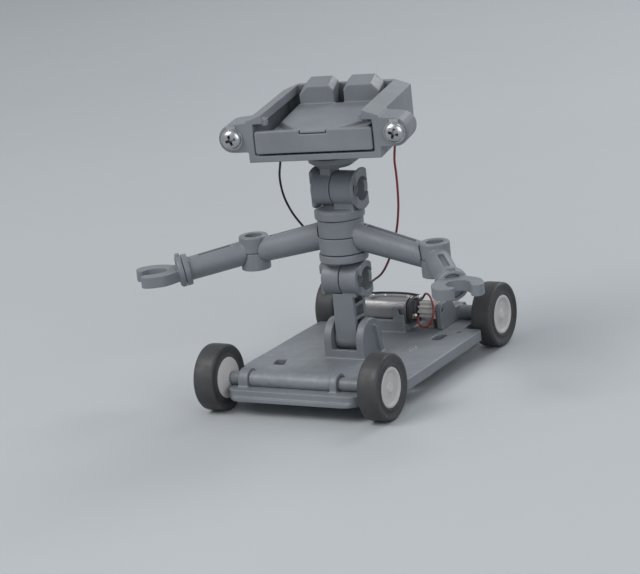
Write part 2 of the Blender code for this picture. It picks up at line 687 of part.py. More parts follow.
def build_torso():
    """Lower flange, half of the belly barrel below it and the post the arms turn on."""
    outline = [(0, FLANGE_LOW), (FLANGE_R - 0.5, FLANGE_LOW), (FLANGE_R, FLANGE_LOW + 0.5),
               (FLANGE_R, FLANGE_TOP), (POST_R, FLANGE_TOP), (POST_R, POST_TOP), (PEG_R, POST_TOP),
               (PEG_R, PEG_TOP), (0, PEG_TOP)]
    torso = turned("z", outline, (0, TORSO_Y), 32)
    web = block(-6.7, -KNUCKLE_GAP - 0.1, TORSO_Y - 3.6, TORSO_Y + 3.6, BELLY_Z, FLANGE_LOW + 0.6)
    cut(web, rod("x", BELLY_R - 1.0, -12.0, 4.0, (TORSO_Y, BELLY_Z), 20))
    union(torso, web, knuckle(-KNUCKLE_GAP, -BELLY_HALF, BELLY_Z, BELLY_R, BELLY_LIP_R))
    finish(torso, "torso", (0, TORSO_Y, BELLY_Z), GREY)
    reach = BELLY_HALF - KNUCKLE_DEPTH - 0.3
    pin = rod("x", KNUCKLE_PIN_R, -reach, reach, (TORSO_Y, BELLY_Z))
    finish(pin, "belly_pin", (0, TORSO_Y, BELLY_Z), DARK_GREY)


def build_neck():
    """Collar with half a barrel, the other half with the disc the head turns on, and their pin."""
    collar = turned("z", [(PEG_R + 0.1, COLLAR[0]), (COLLAR_R, COLLAR[0]), (COLLAR_R, COLLAR[1] - 1.0),
                          (COLLAR_R - 1.0, COLLAR[1]), (0, COLLAR[1]), (0, PEG_HOLE_TOP),
                          (PEG_R + 0.1, PEG_HOLE_TOP)], (0, TORSO_Y), 32)
    cut(collar, rod("x", NECK_LIP_R + 0.25, -14.0, KNUCKLE_GAP + 0.1, (TORSO_Y, NECK_Z), 24))
    riser = block(KNUCKLE_GAP + 0.1, 8.0, TORSO_Y - 4.2, TORSO_Y + 4.2, COLLAR[1] - 0.6, NECK_Z - 2.0)
    cut(riser, rod("x", NECK_R - 1.0, -12.0, 12.0, (TORSO_Y, NECK_Z), 20))
    union(collar, riser, knuckle(KNUCKLE_GAP, NECK_LEFT, NECK_Z, NECK_R, NECK_LIP_R))
    finish(collar, "neck_base", (0, TORSO_Y, NECK_Z), GREY)
    yoke = turned("z", [(0, YOKE[0]), (YOKE_R - 3.0, YOKE[0]), (YOKE_R, YOKE[0] + 2.0), (YOKE_R, YOKE[1]),
                        (PEG_R + 0.3, YOKE[1]), (PEG_R + 0.3, YOKE[0] + 0.7), (0, YOKE[0] + 0.7)],
                  (0, TORSO_Y), 36)
    web = block(-4.4, -KNUCKLE_GAP - 0.1, TORSO_Y - 3.6, TORSO_Y + 3.6, NECK_Z + 2.0, YOKE[0] + 0.3)
    cut(web, rod("x", NECK_R - 1.0, -12.0, 4.0, (TORSO_Y, NECK_Z), 20))
    union(yoke, web, knuckle(-KNUCKLE_GAP, -NECK_RIGHT, NECK_Z, NECK_R, NECK_LIP_R))
    finish(yoke, "neck_yoke", (0, TORSO_Y, NECK_Z), GREY)
    set_back = KNUCKLE_DEPTH + 0.3
    pin = rod("x", KNUCKLE_PIN_R, -NECK_RIGHT + set_back, NECK_LEFT - set_back, (TORSO_Y, NECK_Z))
    finish(pin, "neck_pin", (0, TORSO_Y, NECK_Z), DARK_GREY)


# ---------------------------------------------------------------- arms

def arm_matrix(origin, angle):
    return Matrix.Translation(Vector(origin)) @ Matrix.Rotation(math.radians(angle), 4, "Z")


def elbow_spot(side):
    return (side * ARM_REACH, TORSO_Y, ELBOW_MID)


def groove(u0, z0, u1, z1, depth):
    """Cutter for the long slot along the top of an arm tube, running from one point to the other."""
    w = SLOT_WIDTH / 2.0
    low = [(u0, -w, z0 - depth), (u1, -w, z1 - depth), (u1, w, z1 - depth), (u0, w, z0 - depth)]
    high = [(u0, -w, z0 + 3.0), (u1, -w, z1 + 3.0), (u1, w, z1 + 3.0), (u0, w, z0 + 3.0)]
    return wedge(low, high)


def build_upper_arm(side, ring):
    """Ring round the torso post, drooping tube, and the lower half of the elbow barrel."""
    arm = taper((5.6, 0, ARM_ROOT_Z), (33.4, 0, ARM_ELBOW_Z), 5.1, 4.5, 24)
    if ring[0] < LOWER_RING[1]:
        cut(arm, rod("z", RING_R + 0.3, ring[1], 70.0, (0, 0), 28))
    else:
        cut(arm, rod("z", RING_R + 0.3, 40.0, ring[0], (0, 0), 28))
    cut(arm, rod("z", RING_R - 1.4, 40.0, 70.0, (0, 0), 28))
    union(arm, tube("z", RING_R, RING_BORE, ring[0], ring[1], (0, 0), 28))
    cut(arm, rod("z", ELBOW_CLEAR, ELBOW_MID - 0.25, 70.0, (ARM_REACH, 0), 24))
    cut(arm, rod("z", ELBOW_R - 1.2, 40.0, 70.0, (ARM_REACH, 0), 24))
    union(arm, tube("z", ELBOW_R, ELBOW_BORE, ELBOW_LOW, ELBOW_MID - 0.15, (ARM_REACH, 0), 24))
    cut(arm, groove(9.6, 58.9, 30.0, 53.5, 1.4))
    name = "upper_arm_right" if side < 0 else "upper_arm_left"
    moved(arm, arm_matrix((0, TORSO_Y, 0), 180.0 if side < 0 else 0.0))
    finish(arm, name, (0, TORSO_Y, (ring[0] + ring[1]) / 2.0), GREY)
    pin = turned("z", [(0, ELBOW_LOW + 0.6), (1.9, ELBOW_LOW + 0.6), (1.9, 50.0), (2.8, 50.0), (2.8, 51.4),
                       (0, 51.4)], elbow_spot(side)[:2], 24)
    finish(pin, name.replace("upper_arm", "elbow_pin"), elbow_spot(side), DARK_GREY)


def forearm_angle(side):
    return -BEND_LEFT if side > 0 else -180.0 + BEND_RIGHT


def droop(side):
    """Slope of the forearm below level."""
    return math.radians(DROOP_LEFT if side > 0 else DROOP_RIGHT)


def drooped(obj, side):
    """Tilt a piece drawn level along the forearm down about the middle of the elbow."""
    centre = Matrix.Translation((0.0, 0.0, ELBOW_MID))
    return moved(obj, centre @ Matrix.Rotation(droop(side), 4, "Y") @ centre.inverted())


def build_forearm(side):
    """Upper half of the elbow barrel, straight tube and the flange at the wrist."""
    arm = taper((3.6, 0, FOREARM_Z + 0.3), (WRIST - 1.0, 0, FOREARM_Z), 4.5, FOREARM_R, 24)
    union(arm, rod("x", WRIST_FLANGE_R, WRIST - 2.2, WRIST - 0.15, (0, FOREARM_Z), 24))
    cut(arm, rod("x", 2.5, WRIST - 8.0, WRIST + 1.0, (0, FOREARM_Z), 16))
    cut(arm, groove(8.2, 52.0, 20.6, 51.9, 1.8))
    drooped(arm, side)
    cut(arm, rod("z", ELBOW_CLEAR, 30.0, ELBOW_MID + 0.25, (0, 0), 24))
    cut(arm, rod("z", ELBOW_R - 1.2, 30.0, 60.0, (0, 0), 24))
    low = ELBOW_MID + 0.15
    barrel = [(ELBOW_BORE, low), (ELBOW_R, low), (ELBOW_R, ELBOW_TOP - 0.3), (ELBOW_R - 0.3, ELBOW_TOP),
              (3.2, ELBOW_TOP), (3.2, 49.8), (ELBOW_BORE, 49.8)]
    ring = turned("z", barrel, (0, 0), 24)
    union(arm, ring)
    name = "forearm_right" if side < 0 else "forearm_left"
    moved(arm, arm_matrix((side * ARM_REACH, TORSO_Y, 0), forearm_angle(side)))
    finish(arm, name, elbow_spot(side), GREY)


def build_hand(side):
    """Wrist flange with its key and peg on the forearm's slope, and the level C-shaped claw."""
    hand = rod("x", WRIST_FLANGE_R, WRIST + 0.15, WRIST + 2.2, (0, FOREARM_Z), 24)
    union(hand, rod("x", 2.2, WRIST - 7.0, WRIST + 0.5, (0, FOREARM_Z), 16))
    union(hand, block(WRIST + 0.25, WRIST + 1.9, -1.2, 1.2, FOREARM_Z + 5.0, FOREARM_Z + 6.8))
    drooped(hand, side)
    reach = WRIST * math.cos(droop(side))
    height = ELBOW_MID - WRIST * math.sin(droop(side))
    middle = height + side * CLAW_OFFSET
    claw = BLUNT_FINGER + HOOKED_FINGER
    union(hand, prism("z", claw, middle - CLAW_THICK / 2.0, middle + CLAW_THICK / 2.0))
    name = "hand_right" if side < 0 else "hand_left"
    matrix = arm_matrix((side * ARM_REACH, TORSO_Y, 0), forearm_angle(side))
    moved(hand, matrix)
    finish(hand, name, matrix @ Vector((reach, 0, height)), GREY)


# ---------------------------------------------------------------- head

HEAD_MATRIX = Matrix.Translation((0.0, TORSO_Y, 0.0)) @ Matrix.Rotation(math.radians(HEAD_TURN), 4, "Z")


def head_piece(obj, name, pivot, look):
    """Turn a piece drawn straight ahead into the head's direction."""
    moved(obj, HEAD_MATRIX)
    return finish(obj, name, HEAD_MATRIX @ Vector(pivot), look)


def ear_outline(side):
    """Rounded lug beside the head that carries a terminal screw."""
    points = [(23.0, 91.9), (28.2, 91.9)]
    for k in range(9):
        angle = math.radians(-75.0 + 165.0 * k / 8)
        points.append((EAR_X + EAR_LUG_R * math.cos(angle), EAR_Z + EAR_LUG_R * math.sin(angle) * 1.04))
    points.append((23.0, 102.7))
    return [(side * x, z) for x, z in points]


def build_head():
    """Open-topped tray with broad upper edges, back wall, two lugs and the turning boss."""
    section = [(-HEAD_HALF, HEAD_LOW), (HEAD_HALF, HEAD_LOW), (HEAD_HALF, HEAD_RIM),
               (HEAD_CREST_HALF, HEAD_CREST), (-HEAD_CREST_HALF, HEAD_CREST), (-HEAD_HALF, HEAD_RIM)]
    head = prism("y", section, HEAD_FRONT, HEAD_REAR)
    for side in (-1, 1):
        union(head, prism("y", ear_outline(side), HEAD_FRONT, EAR_BACK))
    cut(head, block(-21.6, 21.6, HEAD_FRONT - 1.0, HEAD_REAR - 2.4, HEAD_FLOOR, 101.8))
    cut(head, block(-HEAD_CREST_HALF, HEAD_CREST_HALF, HEAD_FRONT - 1.0, HEAD_REAR - 2.4, 100.0, 108.0))
    for side in (-1, 1):
        cut(head, rod("y", 1.6, HEAD_FRONT - 1.0, -13.0, (side * EAR_X, EAR_Z), 16))
        x0, x1 = sorted((side * 16.6, side * 18.4))
        union(head, block(x0, x1, -23.4, -20.6, 101.0, 103.6))
    boss = turned("z", [(0, YOKE[0] + 0.9), (PEG_R, YOKE[0] + 0.9), (PEG_R, YOKE[1] + 0.3),
                        (6.6, YOKE[1] + 0.3), (7.4, YOKE[1] + 1.1), (7.4, HEAD_LOW + 0.6),
                        (0, HEAD_LOW + 0.6)], (0, 0), 32)
    union(head, boss)
    cut(head, rod("z", WIRE_HOLE_R, HEAD_LOW - 1.0, HEAD_FLOOR + 1.0, (-19.2, -0.4), 12))
    cut(head, rod("z", WIRE_HOLE_R, 91.0, 95.0, (26.5, -13.2), 12))
    head_piece(head, "head_housing", (0, 0, HEAD_LOW), GREY)


def hump_section(x0, x1, y, top):
    """Cross-section of one raised hump of the cover, bevelled more on its outer side."""
    left, right = HUMP_BEVEL, HUMP_INNER_BEVEL
    if x0 > 0:
        left, right = right, left
    return [(x0, y, 96.8), (x1, y, 96.8), (x1, y, top - right), (x1 - right, y, top),
            (x0 + left, y, top), (x0, y, top - left)]


def build_cell_cover():
    """Cover of the fuel cell: sloping panel, front tongue and two raised humps."""
    cover = block(-17.4, 17.4, -20.0, 24.0, 96.4, 97.4)
    half = [(8.6, -21.0), (17.2, -9.0), (17.2, 15.6)]
    low = [(x, y, 96.6) for x, y in half] + [(-x, y, 96.6) for x, y in reversed(half)]
    high = [(x - 1.6, y + 0.6, 98.6 + 0.035 * (y + 21.0)) for x, y in half]
    high += [(-x, y, z) for x, y, z in reversed(high)]
    union(cover, wedge(low, high))
    union(cover, block(-4.6, 4.6, -24.2, -20.0, 97.9, 98.9))
    for x0, x1 in HUMPS:
        ends = [hump_section(x0, x1, y, top) for y, top in (HUMP_FRONT, HUMP_REAR)]
        union(cover, wedge(*ends))
    head_piece(cover, "cell_cover", (0, 0, 96.4), GREY)


def build_drawer():
    """Front lid with its tray, the magnesium plate and the pad that holds the salt water."""
    lid = prism("y", rounded([(-LID_HALF, LID[0]), (LID_HALF, LID[0]), (LID_HALF, LID[1]),
                              (-LID_HALF, LID[1])], [0.8] * 4, 3), HEAD_FRONT - 0.6, HEAD_FRONT + 1.8)
    cut(lid, block(-NOTCH_HALF, NOTCH_HALF, HEAD_FRONT - 2.0, HEAD_FRONT + 3.0, NOTCH_Z, LID[1] + 1.0))
    union(lid, block(-17.0, 17.0, HEAD_FRONT + 1.4, 18.0, LID[0] - 0.4, LID[0] + 0.8))
    for side in (-1, 1):
        x0, x1 = sorted((side * 15.6, side * 17.0))
        union(lid, block(x0, x1, HEAD_FRONT + 1.4, 18.0, LID[0], 94.3))
    union(lid, block(-17.0, 17.0, 16.8, 18.0, LID[0], 94.3))
    head_piece(lid, "drawer", (0, 0, LID[0]), GREY)
    plate = block(-15.0, 15.0, -19.0, 16.2, 92.2, 93.2)
    head_piece(plate, "magnesium_plate", (0, 0, 92.2), MAGNESIUM)
    pad = block(-15.0, 15.0, -19.0, 16.2, 93.4, 94.3)
    head_piece(pad, "absorbent_pad", (0, 0, 93.4), FELT)
    cathode = block(-16.8, 16.8, -19.6, 23.0, 95.0, 96.2)
    head_piece(cathode, "air_cathode", (0, 0, 95.0), CARBON)


def build_terminals():
    """Two cross-head terminal screws with a tinned tab under each."""
    for side, tag in ((-1, "right"), (1, "left")):
        x = side * EAR_X
        tab = tube("y", 3.9, 1.8, HEAD_FRONT - 0.5, HEAD_FRONT - 0.1, (x, EAR_Z), 28)
        union(tab, block(x - 1.6, x + 1.6, HEAD_FRONT - 0.5, HEAD_FRONT - 0.1, EAR_Z + 3.2, EAR_Z + 4.7))
        head_piece(tab, "terminal_tab_" + tag, (x, HEAD_FRONT, EAR_Z), STEEL)
        y = HEAD_FRONT - 0.6
        outline = [(0, y + 9.5), (1.45, y + 9.5), (1.45, y), (SCREW_R, y), (SCREW_R, y - 0.7),
                   (SCREW_R - 0.5, y - 1.4), (SCREW_R - 1.6, y - 2.0), (0, y - 2.2)]
        screw = turned("y", outline, (x, EAR_Z), 28)
        cut(screw, block(x - 0.45, x + 0.45, y - 3.0, y - 1.2, EAR_Z - 1.9, EAR_Z + 1.9))
        cut(screw, block(x - 1.9, x + 1.9, y - 3.0, y - 1.2, EAR_Z - 0.45, EAR_Z + 0.45))
        head_piece(screw, "terminal_screw_" + tag, (x, y, EAR_Z), CHROME)


# ---------------------------------------------------------------- wires

BLACK_ROUTE = [(-16.2, -20.4, 92.6), (-17.6, -15.0, 92.7), (-18.3, -11.2, 92.2), (-18.5, -9.6, 90.0),
               (-18.7, -9.3, 87.0), (-20.2, -8.2, 82.0), (-22.8, -5.4, 75.7), (-24.5, -1.2, 68.0),
               (-24.3, 3.2, 60.4), (-22.4, 7.2, 53.8), (-18.6, 11.6, 45.5), (-13.8, 16.6, 36.6),
               (-10.4, 22.2, 28.4), (-8.4, 26.8, 23.9), (-4.8, 29.2, 23.15), (0.4, 29.8, 23.15),
               (6.2, 29.6, 23.1), (10.9, 29.5, 22.62)]
RED_ROUTE = [(28.9, -10.9, 93.4), (28.9, -10.9, 91.2), (28.0, -10.2, 88.0), (26.2, -7.8, 83.4),
             (24.4, -4.2, 77.2), (22.8, -1.4, 70.6), (20.8, 1.4, 63.4), (17.6, 4.4, 54.6),
             (12.4, 8.0, 44.6), (6.0, 12.2, 36.4), (-1.0, 17.6, 31.6), (-6.0, 23.0, 28.8),
             (-10.6, 28.6, 26.4), (-15.6, 32.8, 22.8), (-15.8, 36.8, 18.4), (-9.0, 38.2, 16.6),
             (0.0, 38.4, 16.8),
             (6.6, 37.8, 18.4), (10.6, 34.6, 21.8), (14.4, 30.8, 22.0), (17.4, 27.0, 19.8),
             (17.8, 25.4, 16.2), (16.2, 24.6, 12.8), (13.8, 24.2, 12.1), (12.1, 24.3, 13.6),
             (11.9, 24.8, 15.8)]


def smooth_route(route, spacing):
    """Points at even steps along a Catmull-Rom curve through the route."""
    points = [Vector(p) for p in route]
    ends = [points[0] * 2.0 - points[1]] + points + [points[-1] * 2.0 - points[-2]]
    fine = []
    for i in range(1, len(ends) - 2):
        a, b, c, d = ends[i - 1:i + 3]
        for k in range(20):
            t = k / 20.0
            fine.append(0.5 * (2.0 * b + (c - a) * t + (2.0 * a - 5.0 * b + 4.0 * c - d) * t * t
                               + (3.0 * b - a - 3.0 * c + d) * t * t * t))
    fine.append(points[-1])
    total = sum((q - p).length for p, q in zip(fine, fine[1:]))
    count = round(total / spacing)
    result = [fine[0]]
    walked = 0.0
    for p, q in zip(fine, fine[1:]):
        step = (q - p).length
        while len(result) < count and walked + step >= total * len(result) / count:
            result.append(p.lerp(q, (total * len(result) / count - walked) / step))
        walked += step
    result.append(fine[-1])
    return result


def build_wire(name, route, look):
    curve = bpy.data.curves.new(name, "CURVE")
    curve.dimensions = "3D"
    curve.bevel_depth = WIRE_R * MM
    curve.bevel_resolution = 2
    curve.use_fill_caps = True
    points = smooth_route(route, 2.6)
    spline = curve.splines.new("POLY")
    spline.points.add(len(points) - 1)
    for slot, point in zip(spline.points, points):
        slot.co = (point.x * MM, point.y * MM, point.z * MM, 1.0)
    wire = bpy.data.objects.new(name, curve)
    bpy.context.scene.collection.objects.link(wire)
    paint(wire, *look)


def clear_scene():
    for obj in list(bpy.data.objects):
        bpy.data.objects.remove(obj)


def build():
    clear_scene()
    build_deck()
    build_sleeves()
    build_axle("front_axle", -AXLE_Y)
    build_axle("rear_axle", AXLE_Y)
    build_wheel("front_right", -1, -AXLE_Y)
    build_wheel("front_left", 1, -AXLE_Y)
    build_wheel("rear_right", -1, AXLE_Y)
    build_wheel("rear_left", 1, AXLE_Y)
    build_gears()
    build_gear_bracket()
    build_motor()
    build_column()
    build_torso()
    build_neck()
    build_upper_arm(-1, LOWER_RING)
    build_upper_arm(1, UPPER_RING)
    for side in (-1, 1):
        build_forearm(side)
        build_hand(side)
    build_head()
    build_cell_cover()
    build_drawer()
    build_terminals()
    build_wire("wire_black", BLACK_ROUTE, BLACK)
    build_wire("wire_red", RED_ROUTE, RED)


build()
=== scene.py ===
"""Visual model of a jointed salt-water fuel-cell robot on wheels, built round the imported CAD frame."""
import json
import math

import bmesh
import bpy
from mathutils import Matrix, Vector


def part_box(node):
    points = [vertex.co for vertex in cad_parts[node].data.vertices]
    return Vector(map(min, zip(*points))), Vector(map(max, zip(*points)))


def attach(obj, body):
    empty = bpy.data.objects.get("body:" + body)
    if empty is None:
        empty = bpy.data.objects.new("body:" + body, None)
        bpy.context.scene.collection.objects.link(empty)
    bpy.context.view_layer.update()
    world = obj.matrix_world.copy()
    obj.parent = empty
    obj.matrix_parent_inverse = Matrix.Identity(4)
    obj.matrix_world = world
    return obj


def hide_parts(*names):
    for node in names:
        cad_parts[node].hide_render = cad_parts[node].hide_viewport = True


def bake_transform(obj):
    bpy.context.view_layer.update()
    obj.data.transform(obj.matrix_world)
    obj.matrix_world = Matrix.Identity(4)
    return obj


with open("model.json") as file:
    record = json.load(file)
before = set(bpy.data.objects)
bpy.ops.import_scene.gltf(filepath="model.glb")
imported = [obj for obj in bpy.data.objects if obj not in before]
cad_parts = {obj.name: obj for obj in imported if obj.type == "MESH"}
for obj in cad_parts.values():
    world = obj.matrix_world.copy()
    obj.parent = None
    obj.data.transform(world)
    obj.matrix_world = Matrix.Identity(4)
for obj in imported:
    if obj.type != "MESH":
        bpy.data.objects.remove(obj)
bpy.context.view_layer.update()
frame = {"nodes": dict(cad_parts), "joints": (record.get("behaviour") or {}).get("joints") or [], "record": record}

MM = 0.001
BODIES = frame["record"]["behaviour"]["bodies"]
JOINTS = {joint["name"]: joint for joint in frame["joints"]}
ALONG_DRAWER = JOINTS["drawer_slide"]["axis"]


def middle(node):
    """Middle of a CAD node's box, in millimetres."""
    low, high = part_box(node)
    return (low + high) / (2.0 * MM)


def lowest(node):
    """Lowest corner of a CAD node's box, in millimetres."""
    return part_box(node)[0] / MM


def highest(node):
    """Highest corner of a CAD node's box, in millimetres."""
    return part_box(node)[1] / MM


def body_of(node):
    return next(body for body, nodes in BODIES.items() if node in nodes)


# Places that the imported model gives
WAIST = middle("waist_pin")
BELLY = middle("belly_pin")
NECK = middle("neck_pin")
AXIS_Y = middle("torso").y
MOTOR = middle("motor_shaft")
HEAD_TURN = math.atan2(ALONG_DRAWER[0], -ALONG_DRAWER[1])
HEAD = Matrix.Translation((0.0, AXIS_Y, 0.0)) @ Matrix.Rotation(HEAD_TURN, 4, "Z")


# ---------------------------------------------------------------- camera and light

# Camera angles, and its place in its own directions from the frame's origin, in millimetres
CAMERA_AZIMUTH = math.radians(30.337)
CAMERA_ELEVATION = math.radians(14.979)
CAMERA_ROLL = math.radians(6.031)
CAMERA_RIGHT = -12.084
CAMERA_UP = 33.986
CAMERA_DISTANCE = 1114.354
SENSOR = 36.0
LENS = 171.5138
LIGHTS_AIM = Vector((0.0, 0.0, 0.05))


def build_camera():
    """Long lens from the front and left, a little above, rolled as the picture is."""
    level = math.cos(CAMERA_ELEVATION)
    back = Vector((math.sin(CAMERA_AZIMUTH) * level, -math.cos(CAMERA_AZIMUTH) * level,
                   math.sin(CAMERA_ELEVATION)))
    right = Vector((math.cos(CAMERA_AZIMUTH), math.sin(CAMERA_AZIMUTH), 0.0))
    up = back.cross(right)
    spot = (right * CAMERA_RIGHT + up * CAMERA_UP + back * CAMERA_DISTANCE) * MM
    x = right * math.cos(CAMERA_ROLL) - up * math.sin(CAMERA_ROLL)
    y = right * math.sin(CAMERA_ROLL) + up * math.cos(CAMERA_ROLL)
    data = bpy.data.cameras.new("camera")
    data.sensor_width = SENSOR
    data.lens = LENS
    data.clip_start = 0.01
    camera = bpy.data.objects.new("camera", data)
    camera.matrix_world = Matrix(((x.x, y.x, back.x, spot.x), (x.y, y.y, back.y, spot.y),
                                  (x.z, y.z, back.z, spot.z), (0, 0, 0, 1)))
    bpy.context.scene.collection.objects.link(camera)
    bpy.context.scene.camera = camera


def area_light(name, spot, size, power, colour=(1.0, 1.0, 1.0)):
    """Square light of so many metres and watts, turned towards the robot."""
    data = bpy.data.lights.new(name, "AREA")
    data.energy = power
    data.size = size
    data.color = colour
    light = bpy.data.objects.new(name, data)
    light.location = spot
    light.rotation_euler = (LIGHTS_AIM - Vector(spot)).to_track_quat("-Z", "Y").to_euler()
    bpy.context.scene.collection.objects.link(light)


def build_light():
    area_light("key", (-0.45, -0.75, 0.95), size=0.6, power=9.0, colour=(1.0, 0.98, 0.96))
    area_light("fill", (0.9, -0.6, 0.5), size=0.7, power=4.0, colour=(0.95, 0.98, 1.0))
    area_light("rim", (0.2, 0.9, 0.8), size=0.5, power=5.0)
    world = bpy.data.worlds.new("studio")
    world.use_nodes = True
    background = world.node_tree.nodes["Background"]
    background.inputs["Color"].default_value = (0.80, 0.84, 0.88, 1.0)
    background.inputs["Strength"].default_value = 0.62
    bpy.context.scene.world = world
    bpy.context.scene.view_settings.view_transform = "Standard"


# ---------------------------------------------------------------- materials

class Nodes:
    """Short way to add and join shader nodes of one material."""

    def __init__(self, name):
        self.material = bpy.data.materials.new(name)
        self.material.use_nodes = True
        self.tree = self.material.node_tree
        self.shader = self.tree.nodes["Principled BSDF"]
        self.place = self.add("ShaderNodeTexCoord").outputs["Object"]

    def add(self, kind, **settings):
        node = self.tree.nodes.new(kind)
        for key, value in settings.items():
            setattr(node, key, value)
        return node

    def link(self, source, target):
        self.tree.links.new(source, target)

    def noise(self, scale, detail=2.0, stretch=None, rough=0.5):
        """Noise of so many cells per metre, from 0 to 1."""
        node = self.add("ShaderNodeTexNoise")
        node.inputs["Scale"].default_value = scale
        node.inputs["Detail"].default_value = detail
        node.inputs["Roughness"].default_value = rough
        spot = self.place
        if stretch:
            mapping = self.add("ShaderNodeMapping")
            mapping.inputs["Scale"].default_value = stretch
            self.link(spot, mapping.inputs["Vector"])
            spot = mapping.outputs["Vector"]
        self.link(spot, node.inputs["Vector"])
        return node.outputs["Fac"]

    def ramp(self, source, low, high, out_low=0.0, out_high=1.0):
        """Source spread over another range, and held at its ends."""
        node = self.add("ShaderNodeMapRange")
        limits = {"From Min": low, "From Max": high, "To Min": out_low, "To Max": out_high}
        for key, value in limits.items():
            node.inputs[key].default_value = value
        self.link(source, node.inputs["Value"])
        return node.outputs["Result"]

    def times(self, a, b):
        node = self.add("ShaderNodeMath", operation="MULTIPLY")
        self.link(a, node.inputs[0])
        self.link(b, node.inputs[1])
        return node.outputs["Value"]

    def mix(self, amount, first, second):
        """Colour between two, each a colour or another node's output."""
        node = self.add("ShaderNodeMix", data_type="RGBA")
        self.link(amount, node.inputs["Factor"])
        sockets = [s for s in node.inputs if s.type == "RGBA"]
        for socket, value in zip(sockets, (first, second)):
            if isinstance(value, bpy.types.NodeSocket):
                self.link(value, socket)
            else:
                socket.default_value = (*value, 1.0)
        return next(s for s in node.outputs if s.type == "RGBA")

    def edges(self, low, high):
        """0 on flat and hollow places, 1 on outer edges; reversed limits give the hollows."""
        node = self.add("ShaderNodeNewGeometry")
        return self.ramp(node.outputs["Pointiness"], low, high)

    def bump(self, height, distance, under=None):
        """Surface raised by the height times a distance in metres, over another bump."""
        node = self.add("ShaderNodeBump")
        node.inputs["Strength"].default_value = 1.0
        node.inputs["Distance"].default_value = distance
        self.link(height, node.inputs["Height"])
        if under is not None:
            self.link(under, node.inputs["Normal"])
        return node.outputs["Normal"]

    def done(self, colour, roughness, normal=None, metallic=0.0):
        """The finished material."""
        self.link(colour, self.shader.inputs["Base Color"])
        self.link(roughness, self.shader.inputs["Roughness"])
        if normal is not None:
            self.link(normal, self.shader.inputs["Normal"])
        self.shader.inputs["Metallic"].default_value = metallic
        return self.material


def moulded(name, base, rough=0.5, wear=0.25, grain=0.00003, mottle=0.09):
    """Injection-moulded plastic: cloudy colour, fine grain, paler edges and painted shade in the hollows."""
    n = Nodes(name)
    clouds = n.ramp(n.noise(70.0, 3.0), 0.3, 0.7)
    low = tuple(c * (1.0 - mottle) for c in base)
    high = tuple(c * (1.0 + mottle) for c in base)
    colour = n.mix(clouds, low, high)
    speck = n.ramp(n.noise(1500.0, 2.0), 0.62, 0.75, 0.0, 0.18)
    colour = n.mix(speck, colour, tuple(c * 1.35 for c in base))
    # painted shade: concave places darkened towards 0.45 of the base colour, broken up by noise
    hollow = n.times(n.edges(0.49, 0.44), n.ramp(n.noise(400.0, 3.0), 0.2, 0.7, 0.35, 1.0))
    colour = n.mix(n.ramp(hollow, 0.0, 1.0, 0.0, 0.55), colour, tuple(c * 0.45 for c in base))
    worn = n.times(n.edges(0.515, 0.58), n.ramp(n.noise(500.0, 4.0), 0.35, 0.65))
    colour = n.mix(n.ramp(worn, 0.0, 1.0, 0.0, wear), colour, tuple(min(1.0, c * 1.7) for c in base))
    roughness = n.ramp(n.noise(220.0, 4.0), 0.3, 0.7, rough - 0.07, rough + 0.09)
    peel = n.bump(n.noise(450.0, 2.0), grain * 1.6)
    return n.done(colour, roughness, n.bump(n.noise(3200.0, 2.0), grain, under=peel))


def rubber():
    """Matt tyre rubber with dust on its edges and a fine grain."""
    n = Nodes("rubber")
    clouds = n.ramp(n.noise(120.0, 4.0), 0.3, 0.7)
    colour = n.mix(clouds, (0.028, 0.028, 0.030), (0.044, 0.044, 0.047))
    dust = n.times(n.edges(0.51, 0.56), n.ramp(n.noise(600.0, 4.0), 0.4, 0.7))
    colour = n.mix(n.ramp(dust, 0.0, 1.0, 0.0, 0.2), colour, (0.11, 0.11, 0.11))
    speck = n.ramp(n.noise(2600.0, 3.0), 0.6, 0.72, 0.0, 0.3)
    colour = n.mix(speck, colour, (0.062, 0.062, 0.064))
    roughness = n.ramp(n.noise(260.0, 3.0), 0.3, 0.7, 0.42, 0.62)
    return n.done(colour, roughness, n.bump(n.noise(2400.0, 3.0), 0.00006))


def metal(name, base, rough, stretch=(1.0, 1.0, 1.0), scratch=0.00001, tarnish=0.25):
    """Bare or plated metal with drawn or turned scratches, a little tarnish and painted shade in its hollows."""
    n = Nodes(name)
    lines = n.noise(900.0, 4.0, stretch)
    stain = n.ramp(n.noise(160.0, 4.0), 0.45, 0.75, 0.0, tarnish)
    colour = n.mix(stain, base, tuple(c * 0.55 for c in base))
    # painted shade: hollows and recess floors darkened almost to black
    recess_shade = n.ramp(n.edges(0.48, 0.40), 0.0, 1.0, 0.0, 0.85)
    colour = n.mix(recess_shade, colour, tuple(c * 0.06 for c in base))
    roughness = n.ramp(lines, 0.25, 0.75, max(0.04, rough - 0.08), rough + 0.12)
    return n.done(colour, roughness, n.bump(lines, scratch), metallic=1.0)


def fibre(name, dark, pale, cells, depth):
    """Matted or pressed sheet, such as felt or a carbon cathode."""
    n = Nodes(name)
    tangle = n.noise(cells, 6.0, (1.0, 1.0, 3.0), 0.65)
    colour = n.mix(n.ramp(tangle, 0.35, 0.65), dark, pale)
    return n.done(colour, n.ramp(tangle, 0.3, 0.7, 0.8, 0.98), n.bump(tangle, depth))


def insulation(name, base):
    """Soft, slightly glossy wire covering."""
    n = Nodes(name)
    colour = n.mix(n.ramp(n.noise(500.0, 3.0), 0.3, 0.7), tuple(c * 0.8 for c in base), base)
    roughness = n.ramp(n.noise(900.0, 2.0), 0.3, 0.7, 0.28, 0.45)
    return n.done(colour, roughness, n.bump(n.noise(1800.0, 2.0), 0.00003))


